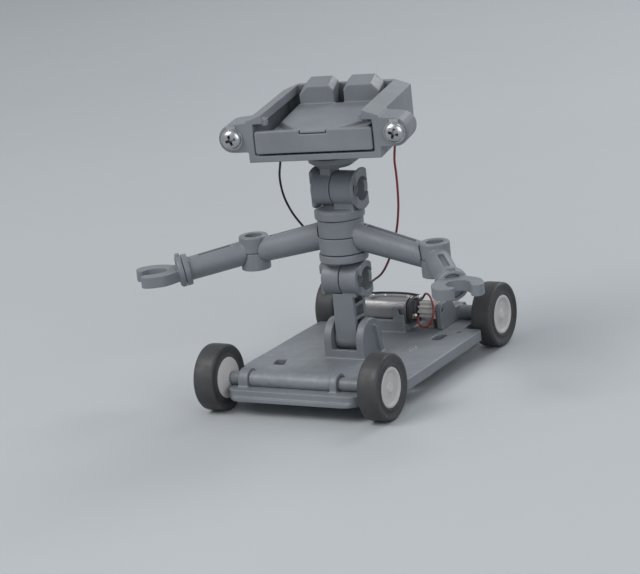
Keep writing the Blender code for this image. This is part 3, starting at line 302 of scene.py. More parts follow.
def build_materials():
    return {
        "grey_plastic": moulded("grey_plastic", (0.158, 0.172, 0.190), rough=0.46),
        "dark_plastic": moulded("dark_plastic", (0.045, 0.047, 0.052), rough=0.42, wear=0.35),
        "hub_plastic": moulded("hub_plastic", (0.46, 0.44, 0.44), rough=0.42, wear=0.15, mottle=0.05),
        "gear_plastic": moulded("gear_plastic", (0.52, 0.49, 0.48), rough=0.38, wear=0.15, grain=0.00002,
                                mottle=0.05),
        "rubber": rubber(),
        "steel": metal("steel", (0.56, 0.56, 0.57), 0.3, stretch=(6.0, 0.4, 0.4)),
        "chrome": metal("chrome", (0.46, 0.46, 0.48), 0.27, scratch=0.000006, tarnish=0.3),
        "motor_steel": metal("motor_steel", (0.36, 0.355, 0.36), 0.38, stretch=(0.12, 3.0, 3.0)),
        "brass": metal("brass", (0.66, 0.48, 0.22), 0.3),
        "solder": metal("solder", (0.62, 0.62, 0.63), 0.28, scratch=0.00004, tarnish=0.4),
        "magnesium": metal("magnesium", (0.50, 0.50, 0.49), 0.5, stretch=(1.0, 6.0, 1.0), scratch=0.00002,
                           tarnish=0.5),
        "cathode_sheet": fibre("cathode_sheet", (0.012, 0.012, 0.013), (0.03, 0.03, 0.032), 3000.0, 0.00004),
        "pad_felt": fibre("pad_felt", (0.42, 0.42, 0.40), (0.66, 0.66, 0.63), 2400.0, 0.00012),
        "wire_black": insulation("wire_black", (0.014, 0.014, 0.015)),
        "wire_red": insulation("wire_red", (0.23, 0.028, 0.028)),
    }


# ---------------------------------------------------------------- mesh code

ROUND = 96


def place(axis, height, point):
    """Point in space from a height along an axis and a point in the plane across it."""
    if axis == "x":
        return (height, point[0], point[1])
    if axis == "y":
        return (point[0], height, point[1])
    return (point[0], point[1], height)


def solid(verts, faces):
    """Mesh object from millimetre vertices, faces turned outwards."""
    mesh = bpy.data.meshes.new("piece")
    mesh.from_pydata([Vector(v) * MM for v in verts], [], faces)
    work = bmesh.new()
    work.from_mesh(mesh)
    bmesh.ops.remove_doubles(work, verts=work.verts, dist=1e-7)
    bmesh.ops.delete(work, geom=[v for v in work.verts if not v.link_faces], context="VERTS")
    bmesh.ops.recalc_face_normals(work, faces=work.faces)
    work.to_mesh(mesh)
    work.free()
    obj = bpy.data.objects.new("piece", mesh)
    bpy.context.scene.collection.objects.link(obj)
    return obj


def prism(axis, points, low, high):
    """Straight solid: an outline across an axis, filled between two heights along it."""
    count = len(points)
    verts = [place(axis, low, p) for p in points] + [place(axis, high, p) for p in points]
    faces = [list(range(count)), list(range(count, 2 * count))]
    faces += [[i, (i + 1) % count, count + (i + 1) % count, count + i] for i in range(count)]
    return solid(verts, faces)


def rectangle(x0, x1, y0, y1):
    return [(x0, y0), (x1, y0), (x1, y1), (x0, y1)]


def block(x0, x1, y0, y1, z0, z1):
    return prism("z", rectangle(x0, x1, y0, y1), z0, z1)


def turned(axis, outline, centre=(0.0, 0.0), segments=ROUND):
    """Round solid: a closed (radius, height) outline turned about an axis through a centre."""
    verts = []
    rings = []
    for radius, height in outline:
        count = 1 if radius < 1e-6 else segments
        rings.append(list(range(len(verts), len(verts) + count)))
        for k in range(count):
            angle = 2.0 * math.pi * k / segments
            spot = (centre[0] + radius * math.cos(angle), centre[1] + radius * math.sin(angle))
            verts.append(place(axis, height, spot))
    faces = []
    for i, a in enumerate(rings):
        b = rings[(i + 1) % len(rings)]
        for k in range(segments):
            m = (k + 1) % segments
            if len(a) > 1 and len(b) > 1:
                faces.append([a[k], a[m], b[m], b[k]])
            elif len(a) > 1:
                faces.append([a[k], a[m], b[0]])
            elif len(b) > 1:
                faces.append([a[0], b[m], b[k]])
    return solid(verts, faces)


def rod(axis, radius, low, high, centre=(0.0, 0.0), segments=ROUND):
    return turned(axis, [(0, low), (radius, low), (radius, high), (0, high)], centre, segments)


def tube(axis, outer, inner, low, high, centre=(0.0, 0.0)):
    outline = [(inner, low), (outer, low), (outer, high), (inner, high)]
    return turned(axis, outline, centre)


def taper(start, end, r_start, r_end, notch=None):
    """Round bar in the plane y = 0 with a different radius at each end; a notch is a slot along its top."""
    a = Vector(start)
    b = Vector(end)
    ahead = (b - a).normalized()
    side = Vector((0, 1, 0))
    up = ahead.cross(side)
    width, depth = notch or (0.0, 0.0)
    verts = []
    for point, radius in ((a, r_start), (b, r_end)):
        gap = math.asin(width / 2.0 / radius)
        for k in range(ROUND):
            angle = gap + (2.0 * math.pi - 2.0 * gap) * k / (ROUND - (1 if notch else 0))
            verts.append(point + side * radius * math.sin(angle) + up * radius * math.cos(angle))
        if notch:
            verts += [point + side * way * width / 2.0 + up * (radius - depth) for way in (-1.0, 1.0)]
    count = len(verts) // 2
    faces = [list(range(count)), list(range(count, 2 * count))]
    faces += [[k, (k + 1) % count, count + (k + 1) % count, count + k] for k in range(count)]
    return solid(verts, faces)


def rounded(points, radius, steps=8):
    """Outline with its corners replaced by arcs."""
    result = []
    count = len(points)
    for i in range(count):
        here = Vector(points[i])
        back = (Vector(points[i - 1]) - here).normalized()
        ahead = (Vector(points[(i + 1) % count]) - here).normalized()
        half = back.angle(ahead) / 2.0
        reach = radius / math.tan(half)
        centre = here + (back + ahead).normalized() * (radius / math.sin(half))
        first = here + back * reach - centre
        last = here + ahead * reach - centre
        turn = first.angle_signed(last)
        for k in range(steps + 1):
            angle = -turn * k / steps
            c = math.cos(angle)
            s = math.sin(angle)
            result.append((centre.x + first.x * c - first.y * s, centre.y + first.x * s + first.y * c))
    return result


def flowing(points, steps, closed=False):
    """Points along a Catmull-Rom curve through the given ones."""
    spots = [Vector(p) for p in points]
    if closed:
        ends = [spots[-1]] + spots + spots[:2]
    else:
        ends = [spots[0] * 2.0 - spots[1]] + spots + [spots[-1] * 2.0 - spots[-2]]
    result = []
    for i in range(1, len(ends) - 2):
        a, b, c, d = ends[i - 1:i + 3]
        for k in range(steps):
            t = k / steps
            result.append(0.5 * (2.0 * b + (c - a) * t + (2.0 * a - 5.0 * b + 4.0 * c - d) * t * t
                                 + (3.0 * b - a - 3.0 * c + d) * t * t * t))
    if not closed:
        result.append(spots[-1])
    return result


def join(first, *others):
    """All the given meshes as one object, with nothing cut away."""
    work = bmesh.new()
    work.from_mesh(first.data)
    for other in others:
        work.from_mesh(other.data)
        remove(other)
    work.to_mesh(first.data)
    work.free()
    return first


def remove(obj):
    mesh = obj.data
    bpy.data.objects.remove(obj)
    bpy.data.meshes.remove(mesh)


def settle(obj):
    """Keep what the object's modifiers make as its own mesh."""
    graph = bpy.context.evaluated_depsgraph_get()
    mesh = bpy.data.meshes.new_from_object(obj.evaluated_get(graph))
    obj.modifiers.clear()
    old = obj.data
    obj.data = mesh
    bpy.data.meshes.remove(old)
    return obj


def carve(obj, *cutters):
    """Take the cutters out of a piece whose own blocks may overlap."""
    for cutter in cutters:
        step = obj.modifiers.new("cut", "BOOLEAN")
        step.operation = "DIFFERENCE"
        step.solver = "EXACT"
        step.use_self = True
        step.object = cutter
        settle(obj)
        remove(cutter)
    return obj


def moved(obj, matrix):
    """Transform the mesh itself; the translation part is in millimetres."""
    scaled = matrix.copy()
    scaled.translation = scaled.translation * MM
    obj.data.transform(scaled)
    return obj


def mould(obj, voxel, passes, keep):
    """Fuse overlapping blocks into one skin with small moulded fillets, and keep a part of its triangles."""
    skin = obj.modifiers.new("skin", "REMESH")
    skin.mode = "VOXEL"
    skin.voxel_size = voxel * MM
    smooth = obj.modifiers.new("smooth", "SMOOTH")
    smooth.factor = 0.5
    smooth.iterations = passes
    thin = obj.modifiers.new("thin", "DECIMATE")
    thin.ratio = keep
    settle(obj)
    obj.data.shade_smooth()
    return obj


def cad_copy(node):
    """Closed copy of a CAD node's mesh."""
    obj = bpy.data.objects.new(node + "_copy", frame["nodes"][node].data.copy())
    bpy.context.scene.collection.objects.link(obj)
    work = bmesh.new()
    work.from_mesh(obj.data)
    bmesh.ops.remove_doubles(work, verts=work.verts, dist=2e-6)
    work.to_mesh(obj.data)
    work.free()
    normals = obj.data.attributes.get("custom_normal")
    if normals:
        obj.data.attributes.remove(normals)
    obj.data.shade_smooth()
    return obj


def fit(obj, name, body, slot, *nodes):
    """Name, finish and body of a finished piece, and the CAD nodes it stands for."""
    obj.name = name
    obj.data.name = name
    obj.data.materials.clear()
    obj.data.materials.append(MATERIALS[slot])
    if nodes:
        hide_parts(*nodes)
    if body:
        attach(obj, body)
    return obj


def recast(node, slot, extras=(), cuts=(), voxel=0.2, passes=4, keep=0.4, turn=None):
    """A CAD node's solid, its round parts made finer, as one skin with moulded fillets."""
    obj = cad_copy(node)
    if turn:
        moved(obj, turn.inverted())
    join(obj, *extras)
    carve(obj, *cuts)
    mould(obj, voxel, passes, keep)
    if turn:
        moved(obj, turn)
    return fit(obj, node + "_moulding", body_of(node), slot, node)


# ---------------------------------------------------------------- wires

WIRE_R = 0.42
WIRE_SIDES = 14
WIRE_STEP = 0.8
SHORTEST_CORD = 0.03
CHAIN = ["head", "neck_yoke", "torso", "column", "chassis"]
# Distances along each wire where one section ends
BLACK_SPLITS = (34.0, 44.0, 56.0)
RED_SPLITS = (40.0, 52.0, 64.0)
BLACK_ROUTE = [(-16.2, -20.4, 92.6), (-17.6, -15.0, 92.7), (-18.3, -11.2, 92.2), (-18.5, -9.6, 90.0),
               (-18.7, -9.3, 87.0), (-20.2, -8.2, 82.0), (-22.8, -5.4, 75.7), (-24.5, -1.2, 68.0),
               (-24.3, 3.2, 60.4), (-22.4, 7.2, 53.8), (-18.6, 11.6, 45.5), (-13.8, 16.6, 36.6),
               (-10.4, 22.2, 28.4), (-8.4, 26.8, 23.9), (-4.8, 29.2, 23.15), (0.4, 29.8, 23.15),
               (6.2, 29.6, 23.1), (10.9, 29.5, 22.62)]
RED_ROUTE = [(28.9, -10.9, 93.4), (28.9, -10.9, 91.2), (28.0, -10.2, 88.0), (26.2, -7.8, 83.4),
             (24.4, -4.2, 77.2), (22.8, -1.4, 70.6), (20.8, 1.4, 63.4), (17.6, 4.4, 54.6),
             (12.4, 8.0, 44.6), (6.0, 12.2, 36.4), (-1.0, 17.6, 31.6), (-6.0, 23.0, 28.8),
             (-10.6, 28.6, 26.4), (-15.6, 32.8, 22.8), (-15.8, 36.8, 18.4), (-9.0, 38.2, 16.6),
             (0.0, 38.4, 16.8), (6.6, 37.8, 18.4), (10.6, 34.6, 21.8), (14.4, 30.8, 22.0),
             (17.4, 27.0, 19.8), (17.8, 25.4, 16.2), (16.2, 24.6, 12.8), (13.8, 24.2, 12.1),
             (12.1, 24.3, 13.6), (11.9, 24.8, 15.8)]


def along(line):
    """Distance of each point of a line from its start."""
    result = [0.0]
    for p, q in zip(line, line[1:]):
        result.append(result[-1] + (q - p).length)
    return result


def run_between(line, start, end):
    """Evenly spaced points of the part of a line between two distances from its start."""
    far = along(line)
    count = max(2, round((end - start) / WIRE_STEP))
    result = []
    i = 0
    for k in range(count + 1):
        want = start + (end - start) * k / count
        while i < len(far) - 2 and far[i + 1] < want:
            i += 1
        result.append(line[i].lerp(line[i + 1], (want - far[i]) / (far[i + 1] - far[i])))
    return result


def hose(points, radius):
    """Closed round tube along a line, without twist."""
    verts = []
    tangent = (points[1] - points[0]).normalized()
    side = tangent.orthogonal().normalized()
    for i, point in enumerate(points):
        ahead = (points[min(i + 1, len(points) - 1)] - points[max(i - 1, 0)]).normalized()
        side = tangent.rotation_difference(ahead) @ side
        tangent = ahead
        up = tangent.cross(side)
        for k in range(WIRE_SIDES):
            angle = 2.0 * math.pi * k / WIRE_SIDES
            verts.append(point + side * radius * math.cos(angle) + up * radius * math.sin(angle))
    last = (len(points) - 1) * WIRE_SIDES
    faces = [list(range(WIRE_SIDES)), list(range(last, last + WIRE_SIDES))]
    for i in range(len(points) - 1):
        for k in range(WIRE_SIDES):
            a = i * WIRE_SIDES + k
            b = i * WIRE_SIDES + (k + 1) % WIRE_SIDES
            faces.append([a, b, b + WIRE_SIDES, a + WIRE_SIDES])
    obj = solid(verts, faces)
    obj.data.shade_smooth()
    return obj


def build_wire(name, route, splits):
    """One wire in four sections, cut at the given distances along its route from the head's floor down to where it
    lies over the motor."""
    line = flowing(route, 12)
    cuts = [0.0, *splits, along(line)[-1]]
    for i in range(len(CHAIN) - 1):
        points = run_between(line, cuts[i], cuts[i + 1])
        section = fit(hose(points, WIRE_R), f"{name}_{i + 1}", None, name, name)
        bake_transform(section)
        length = (cuts[i + 1] - cuts[i]) * MM
        if length < SHORTEST_CORD:
            continue


# ---------------------------------------------------------------- wheels and sleeves

# Profiles as (radius, depth below the outermost plane of that side)
TYRE_R = 12.0
TYRE_FACE = [(7.42, 0.45), (7.75, 0.22), (8.2, 0.30), (8.5, 0.62), (9.2, 0.60), (10.1, 0.30), (10.5, 0.06),
             (10.9, 0.0), (11.3, 0.08), (11.62, 0.30), (11.85, 0.62), (11.95, 1.1), (11.985, 2.0),
             (TYRE_R, 3.0)]
RIM_FACE = [(0.0, 0.35), (1.5, 0.38), (1.75, 0.75), (2.1, 0.95), (4.6, 1.02), (5.5, 0.92), (5.85, 0.6),
            (6.05, 0.28), (6.35, 0.12), (6.9, 0.12), (7.2, 0.28), (7.36, 0.6)]
RIM_BACK = [(7.36, 1.6), (7.1, 1.35), (4.6, 0.75), (2.9, 0.12), (2.6, 0.02), (1.3, 0.02), (1.15, 0.2)]
AXLE_SOCKET_R = 1.15
AXLE_SOCKET_END = 1.4
SLEEVE_BORE = 1.3
SLEEVE_CHAMFER = 0.2
SWELL_R = 3.0
SWELL_EDGE_R = 2.7
SWELL = (-19.05, 13.8)


def smooth_sided(obj, degrees):
    """Smooth shading, but sharp where faces meet at more than an angle."""
    obj.data.shade_smooth()
    obj.data.set_sharp_from_angle(angle=math.radians(degrees))
    return obj


def build_wheel(corner):
    """Tyre with rounded shoulders and a dished sidewall, on a plain off-white rim."""
    tyre = "tyre_" + corner
    centre = middle(tyre)
    hub = (centre.y, centre.z)
    half = (highest(tyre).x - lowest(tyre).x) / 2.0
    radius = (highest(tyre).z - lowest(tyre).z) / 2.0
    outline = []
    for way in (-1.0, 1.0):
        points = [(r * radius / TYRE_R, centre.x + way * (half - depth)) for r, depth in TYRE_FACE]
        outline += points if way < 0 else points[::-1]
    fit(smooth_sided(turned("x", outline, hub, 128), 50), tyre + "_moulding", body_of(tyre), "rubber", tyre)
    rim = "rim_" + corner
    side = 1.0 if centre.x > 0 else -1.0
    ends = (lowest(rim).x, highest(rim).x)
    inner, outer = ends if side > 0 else ends[::-1]
    profile = [(r, outer - side * depth) for r, depth in RIM_FACE]
    profile += [(r, inner + side * depth) for r, depth in RIM_BACK]
    profile += [(r, outer - side * AXLE_SOCKET_END) for r in (AXLE_SOCKET_R, 0.0)]
    fit(smooth_sided(turned("x", profile, hub), 40), rim + "_moulding", body_of(rim), "hub_plastic", rim)


def build_sleeves():
    """Chamfered tubes over both axles, the front one swelling between its clips."""
    for node, radius in (("front_axle_sleeve", 2.5), ("rear_axle_sleeve", 2.9)):
        low = lowest(node).x
        high = highest(node).x
        outline = [(SLEEVE_BORE, low), (radius - SLEEVE_CHAMFER, low), (radius, low + SLEEVE_CHAMFER)]
        if node == "front_axle_sleeve":
            start, end = SWELL
            outline += [(radius, start - 0.1), (SWELL_EDGE_R, start), (SWELL_R, start), (SWELL_R, end),
                        (SWELL_EDGE_R, end), (radius, end + 0.05)]
        outline += [(radius, high - SLEEVE_CHAMFER), (radius - SLEEVE_CHAMFER, high), (SLEEVE_BORE, high)]
        obj = smooth_sided(turned("x", outline, (middle(node).y, middle(node).z)), 35)
        fit(obj, node + "_moulding", body_of(node), "grey_plastic", node)


# ---------------------------------------------------------------- chassis

LUG_R = 7.2
LUG = (5.1, 8.2)
WAIST_BORE = 1.65
WAIST_PIN_HALF = 7.2
CLIP_R = 4.0
FRONT_CLIPS = ((-23.1, -19.2), (13.9, 16.7))
REAR_CLIPS = ((-23.1, -20.3), (-1.4, 1.4))

CAN_HALF_WIDTH = 6.0
CAN_HALF_HEIGHT = 5.0
CAN_CORNER = 3.9
BOSS_LENGTH = 1.4
BOSS_R = 2.6
BOSS_HOLE = 0.95
SHAFT_HOLE = 0.9
CRIMP_HALF = 1.3
VENT_LENGTH = 3.0
VENT_HALF = 1.1
VENT_CORNER = 1.05
CAP_BOSS_R = 4.2
SOLDER_RING = [(0.0, -0.75), (0.5, -0.68), (0.85, -0.38), (1.0, 0.0), (0.85, 0.38), (0.5, 0.68), (0.0, 0.75)]
SOLDER_SHAPE = (1.3, 0.95, 0.8, 1.0)
SOLDER_SHIFT = {"top": (0.5, -0.2, 0.3), "front": (0.6, -0.3, 0.3)}


def build_deck():
    """Deck with finer waist lugs and axle clips, and the bracket of the gears."""
    waist = (WAIST.y, WAIST.z)
    extras = [rod("x", LUG_R, *span, waist) for span in (LUG, (-LUG[1], -LUG[0]))]
    for axle, bore, clips in (("front_axle", 2.6, FRONT_CLIPS), ("rear_axle", 3.0, REAR_CLIPS)):
        hub = (middle(axle).y, middle(axle).z)
        extras += [tube("x", CLIP_R, bore, *span, hub) for span in clips]
    cuts = [rod("x", WAIST_BORE, -WAIST_PIN_HALF, WAIST_PIN_HALF, waist)]
    recast("chassis_deck", "grey_plastic", extras, cuts, voxel=0.3, keep=0.3)
    recast("gear_bracket", "grey_plastic", voxel=0.22, passes=5)


def build_motor():
    """Flat-sided can with a crimp and vents in its top, and a dark end cap."""
    can = "motor_can"
    low = lowest(can).x
    high = highest(can).x
    y, z = MOTOR.y, MOTOR.z
    side = rectangle(y - CAN_HALF_WIDTH, y + CAN_HALF_WIDTH, z - CAN_HALF_HEIGHT, z + CAN_HALF_HEIGHT)
    start = low + BOSS_LENGTH
    shell = prism("x", rounded(side, CAN_CORNER, 16), start, high)
    boss = [(BOSS_HOLE, low), (BOSS_R - 0.2, low), (BOSS_R, low + 0.2), (BOSS_R, start + 0.3),
            (BOSS_HOLE, start + 0.3)]
    join(shell, turned("x", boss, (y, z)))
    above = z + CAN_HALF_HEIGHT + 1.0
    cuts = [block(high - 1.6, high + 1.0, y - CRIMP_HALF, y + CRIMP_HALF, z + 4.55, above),
            rod("x", SHAFT_HOLE, low - 1.0, high + 1.0, (y, z), 32)]
    for x in (start + 3.0, start + 8.0):
        vent = rounded(rectangle(x, x + VENT_LENGTH, y - VENT_HALF, y + VENT_HALF), VENT_CORNER)
        cuts.append(prism("z", vent, z + 4.65, above))
    carve(shell, *cuts)
    mould(shell, 0.16, 3, 0.4)
    fit(shell, "motor_can_shell", body_of(can), "motor_steel", can)
    cap = "motor_end_cap"
    boss = tube("x", CAP_BOSS_R, BOSS_HOLE, lowest(cap).x + 1.2, highest(cap).x, (y, z))
    recast(cap, "dark_plastic", [boss], voxel=0.16, passes=5, keep=0.5)


def build_solder():
    """A drop of solder where each wire meets its terminal."""
    for end, shift in SOLDER_SHIFT.items():
        spot = middle("motor_terminal_" + end) + Vector(shift)
        drop = turned("x", SOLDER_RING, (0.0, 0.0), 24)
        moved(drop, Matrix.Translation(spot) @ Matrix.Diagonal(SOLDER_SHAPE))
        drop.data.shade_smooth()
        fit(drop, "solder_" + end, "chassis", "solder")


# ---------------------------------------------------------------- column, torso and neck

BARREL_BORE = 4.38
BELLY_R = 6.3
BELLY_LIP_R = 6.75
NECK_R = 6.4
NECK_LIP_R = 7.7
LIP_LENGTH = 1.5
LIP_HALF = 3.9
BARREL_GAP = 0.25


def barrel(inner, outer, centre, radius, lip):
    """Round part of half a hinge barrel, with a flared lip above and below its open end."""
    side = 1.0 if outer > inner else -1.0
    end = outer - side * LIP_LENGTH
    outline = [(BARREL_BORE, end - side * 0.6), (radius, end - side * 0.6), (lip, outer - side * 0.45),
               (lip - 0.25, outer - side * 0.05), (4.7, outer), (BARREL_BORE, outer - side * 0.3)]
    flare = turned("x", outline, centre)
    x0, x1 = sorted((end, outer + side * 1.0))
    for way in (-1, 1):
        y0, y1 = sorted((centre[0] + way * LIP_HALF, centre[0] + way * 12.0))
        carve(flare, block(x0, x1, y0, y1, centre[1] - 10.0, centre[1] + 10.0))
    return [flare, tube("x", radius, BARREL_BORE, *sorted((inner, end)), centre)]


def build_stack():
    """Column, torso, neck base and neck yoke, each with its half of the hinge barrels."""
    waist = (WAIST.y, WAIST.z)
    belly = (BELLY.y, BELLY.z)
    neck = (NECK.y, NECK.z)
    axis = (0, AXIS_Y)
    foot = tube("x", 4.7, 1.7, -4.8, 4.8, waist)
    recast("column", "grey_plastic", [foot] + barrel(BARREL_GAP, 8.6, belly, BELLY_R, BELLY_LIP_R))
    flange = [(0, 45.6), (8.4, 45.6), (8.9, 46.1), (8.9, 48.2), (8.6, 48.6), (4.4, 48.6), (4.4, 61.5),
              (3.0, 61.5), (3.0, 63.2), (0, 63.2)]
    recast("torso", "grey_plastic",
           [turned("z", flange, axis)] + barrel(-BARREL_GAP, -8.6, belly, BELLY_R, BELLY_LIP_R))
    collar = [(3.15, 61.7), (8.8, 61.7), (9.1, 62.0), (9.1, 64.5), (8.2, 65.4), (0, 65.4), (0, 63.6),
              (3.15, 63.6)]
    notch = rod("x", NECK_LIP_R + 0.25, -14.0, BARREL_GAP, neck)
    notched = carve(turned("z", collar, axis), notch)
    recast("neck_base", "grey_plastic", [notched] + barrel(BARREL_GAP, 10.4, neck, NECK_R, NECK_LIP_R))
    disc = [(0, 80.6), (6.3, 80.6), (9.3, 82.6), (9.3, 84.1), (9.0, 84.4), (3.35, 84.4), (3.35, 81.3),
            (0, 81.3)]
    recast("neck_yoke", "grey_plastic",
           [turned("z", disc, axis)] + barrel(-BARREL_GAP, -8.8, neck, NECK_R, NECK_LIP_R))


# ---------------------------------------------------------------- arms

SIDES = {-1: "right", 1: "left"}
RING_R = 8.4
RING_BORE = 4.9
RING_SPAN = {-1: (48.9, 54.9), 1: (55.2, 61.4)}
ARM_REACH = 37.2
ELBOW_R = 5.42
ELBOW_SPAN = (41.0, 47.4)
ELBOW_MID = 47.5
ELBOW_TOP = 53.45
BEND = {-1: math.radians(-143.0), 1: math.radians(-52.0)}
DROOP = {-1: math.radians(8.0), 1: math.radians(6.5)}
UPPER_START = 5.6
UPPER_LENGTH = 27.8
FOREARM_START = 3.6
FOREARM_LENGTH = 23.9
SLOT_WIDTH = 2.2
WRIST = 27.0
WRIST_R = 5.87
WRIST_GAP = 0.1
CLAW_HALF = 2.1
# Outlines of the claw's fingers, (along the arm, across it), from the palm round each tip and back
BLUNT_FINGER = [(28.2, 3.2), (31.0, 6.4), (34.2, 8.5), (37.0, 9.0), (39.4, 8.9), (41.6, 8.2), (42.9, 6.8),
                (42.95, 5.2), (42.1, 4.1), (40.8, 3.8), (39.4, 4.15), (36.9, 4.05), (34.4, 3.2), (33.0, 1.2)]
HOOKED_FINGER = [(33.0, -1.2), (34.4, -3.2), (36.9, -4.0), (39.4, -3.75), (40.8, -2.7), (42.1, -2.15),
                 (43.3, -2.9), (43.75, -4.6), (43.4, -6.7), (41.8, -8.3), (39.4, -9.0), (37.0, -9.05),
                 (34.2, -8.5), (31.0, -6.4), (28.2, -3.2)]


def shoulder(side):
    """Frame of an upper arm, drawn along +X from the torso's axis."""
    return Matrix.Translation((0.0, AXIS_Y, 0.0)) @ Matrix.Rotation(math.pi if side < 0 else 0.0, 4, "Z")


def elbow(side):
    """Frame of a forearm, drawn along +X from the elbow."""
    return Matrix.Translation((side * ARM_REACH, AXIS_Y, 0.0)) @ Matrix.Rotation(BEND[side], 4, "Z")


def drooped(obj, side):
    """Tilt a piece drawn level along the forearm down about the middle of the elbow."""
    centre = Matrix.Translation((0.0, 0.0, ELBOW_MID))
    return moved(obj, centre @ Matrix.Rotation(DROOP[side], 4, "Y") @ centre.inverted())


def slotted_bar(stops, spot, radius, notch):
    """Bar along an arm in three lengths, the middle one with the slot along its top."""
    bars = []
    for i, (u0, u1) in enumerate(zip(stops, stops[1:])):
        bars.append(taper(spot(u0), spot(u1), radius(u0), radius(u1), notch if i == 1 else None))
    return bars


def build_upper_arm(side):
    """Bar that falls 6.8 mm and thins by 0.6 mm from the shoulder's ring to the elbow's."""
    bars = slotted_bar((9.2, 9.8, 29.8, 31.3),
                       lambda u: (u, 0.0, 54.9 - 6.8 * (u - UPPER_START) / UPPER_LENGTH),
                       lambda u: 5.1 - 0.6 * (u - UPPER_START) / UPPER_LENGTH, (SLOT_WIDTH, 1.4))
    rings = [tube("z", RING_R, RING_BORE, *RING_SPAN[side]),
             tube("z", ELBOW_R, 2.3, *ELBOW_SPAN, (ARM_REACH, 0))]
    recast("upper_arm_" + SIDES[side], "grey_plastic", bars + rings, turn=shoulder(side))


def build_forearm(side):
    """Nearly straight bar from the elbow's upper ring to the cupped wrist flange."""
    bars = slotted_bar((6.4, 8.4, 20.4, WRIST - 1.0),
                       lambda u: (u, 0.0, 47.8 - 0.3 * (u - FOREARM_START) / FOREARM_LENGTH),
                       lambda u: 4.5 - 0.2 * (u - FOREARM_START) / FOREARM_LENGTH, (SLOT_WIDTH, 1.6))
    flange = [(2.6, WRIST - 2.35), (4.9, WRIST - 2.35), (5.55, WRIST - 2.05), (WRIST_R, WRIST - 1.4),
              (WRIST_R, WRIST - WRIST_GAP), (2.6, WRIST - WRIST_GAP)]
    ring = [(3.3, 47.6), (ELBOW_R, 47.6), (ELBOW_R, 53.1), (5.1, ELBOW_TOP), (3.5, ELBOW_TOP), (3.3, 53.2)]
    extras = [drooped(bar, side) for bar in bars + [turned("x", flange, (0, ELBOW_MID))]]
    recast("forearm_" + SIDES[side], "grey_plastic", extras + [turned("z", ring)], turn=elbow(side))


def build_hand(side):
    """Wrist flange with its key, peg and round-fingered claw."""
    node = "hand_" + SIDES[side]
    ring = [(0, WRIST + WRIST_GAP), (WRIST_R, WRIST + WRIST_GAP), (WRIST_R, WRIST + 1.4),
            (5.55, WRIST + 2.05), (5.0, WRIST + 2.35), (4.4, WRIST + 2.3), (4.2, WRIST + 1.4),
            (3.1, WRIST + 1.4), (2.9, WRIST + 2.25), (0, WRIST + 2.25)]
    hand = turned("x", ring, (0, ELBOW_MID))
    join(hand, rod("x", 2.2, WRIST - 7.0, WRIST + 0.5, (0, ELBOW_MID), 48),
         block(WRIST + 0.25, WRIST + 1.9, -1.2, 1.2, ELBOW_MID + 5.0, ELBOW_MID + 6.7))
    drooped(hand, side)
    height = ELBOW_MID - WRIST * math.sin(DROOP[side]) + side * 0.9
    claw = [tuple(p) for p in flowing(BLUNT_FINGER + HOOKED_FINGER, 5, closed=True)]
    join(hand, prism("z", claw, height - CLAW_HALF, height + CLAW_HALF))
    mould(hand, 0.18, 6, 0.45)
    moved(hand, elbow(side))
    fit(hand, node + "_moulding", body_of(node), "grey_plastic", node)


# ---------------------------------------------------------------- head

EAR_X = 29.5
EAR_Z = 97.0
EAR_R = 4.9
EAR_BORE = 1.7
EAR_SPAN = (-24.0, -11.0)
SCREW_SEAT = -24.6
SCREW_R = 3.5
SCREW_RISE = 1.6
SHANK_R = 1.45
CROSS_HALF = 2.3
CROSS_SLOT = 0.55


def build_head():
    """Housing with its turning spigot and round ears, the cover of the cell and the drawer."""
    spigot = [(0, 81.5), (3.0, 81.5), (3.0, 84.7), (6.6, 84.7), (7.4, 85.5), (7.4, 88.7), (0, 88.7)]
    ears = [tube("y", EAR_R, EAR_BORE, *EAR_SPAN, (side * EAR_X, EAR_Z)) for side in (-1, 1)]
    recast("head_housing", "grey_plastic", [turned("z", spigot)] + ears, voxel=0.26, keep=0.35, turn=HEAD)
    recast("cell_cover", "grey_plastic", voxel=0.24, passes=7, keep=0.35, turn=HEAD)
    recast("drawer", "grey_plastic", voxel=0.22, keep=0.35, turn=HEAD)


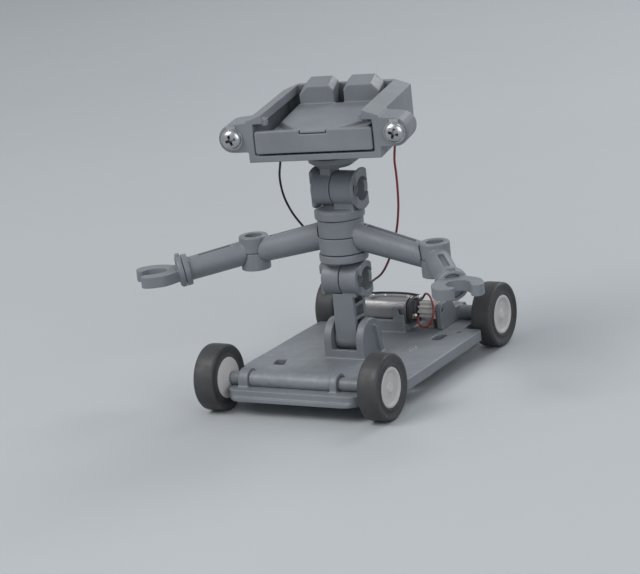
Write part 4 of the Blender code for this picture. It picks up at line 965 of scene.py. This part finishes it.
def build_screw(side):
    """Pan-head screw with a cross recess that narrows to its bottom."""
    node = "terminal_screw_" + SIDES[side]
    y = SCREW_SEAT
    outline = [(0, y + 9.5), (1.3, y + 9.5), (SHANK_R, y + 9.0), (SHANK_R, y), (3.3, y), (SCREW_R, y - 0.2)]
    for k in range(15):
        angle = math.radians(6.0 * k)
        outline.append((SCREW_R * math.cos(angle), y - 0.6 - SCREW_RISE * math.sin(angle)))
    outline.append((0, y - 0.6 - SCREW_RISE))
    screw = turned("y", outline, (side * EAR_X, EAR_Z), 64)
    top = rectangle(-CROSS_HALF, CROSS_HALF, -CROSS_SLOT, CROSS_SLOT)
    verts = [(u, y - 3.0, w) for u, w in top] + [(u * 0.5, y - 0.3, w * 0.6) for u, w in top]
    faces = [[0, 1, 2, 3], [7, 6, 5, 4]] + [[i, (i + 1) % 4, 4 + (i + 1) % 4, 4 + i] for i in range(4)]
    for turn in (0.0, math.pi / 2.0):
        spot = Matrix.Translation((side * EAR_X, 0.0, EAR_Z)) @ Matrix.Rotation(turn + 0.3 * side, 4, "Y")
        carve(screw, moved(solid(verts, faces), spot))
    smooth_sided(screw, 35)
    moved(screw, HEAD)
    fit(screw, node + "_head", body_of(node), "chrome", node)


# ---------------------------------------------------------------- carried-over nodes

def dress_nodes():
    """A finish for every CAD node that still shows."""
    looks = {part["node"]: part["material_slot"] for part in frame["record"]["subparts"]}
    for node, obj in frame["nodes"].items():
        finish = MATERIALS[looks[node]]
        if len(obj.material_slots) == 0:
            obj.data.materials.append(finish)
        for slot in obj.material_slots:
            slot.material = finish


def build_floor():
    """Pale floor far wider than the picture."""
    floor = solid([(x, y, 0.0) for x, y in rectangle(-4000.0, 4000.0, -4000.0, 6000.0)], [[0, 1, 2, 3]])
    floor.name = "floor"
    n = Nodes("floor")
    clouds = n.ramp(n.noise(3.0, 3.0), 0.3, 0.7)
    colour = n.mix(clouds, (0.375, 0.395, 0.415), (0.395, 0.415, 0.43))
    floor.data.materials.append(n.done(colour, n.ramp(n.noise(40.0, 2.0), 0.3, 0.7, 0.7, 0.8)))


MATERIALS = build_materials()

build_camera()
build_wire("wire_black", BLACK_ROUTE, BLACK_SPLITS)
build_wire("wire_red", RED_ROUTE, RED_SPLITS)
build_light()
dress_nodes()
for corner in ("front_right", "front_left", "rear_right", "rear_left"):
    build_wheel(corner)
build_sleeves()
build_deck()
build_motor()
build_solder()
build_stack()
for side in (-1, 1):
    build_upper_arm(side)
    build_forearm(side)
    build_hand(side)
    build_screw(side)
build_head()
build_floor()
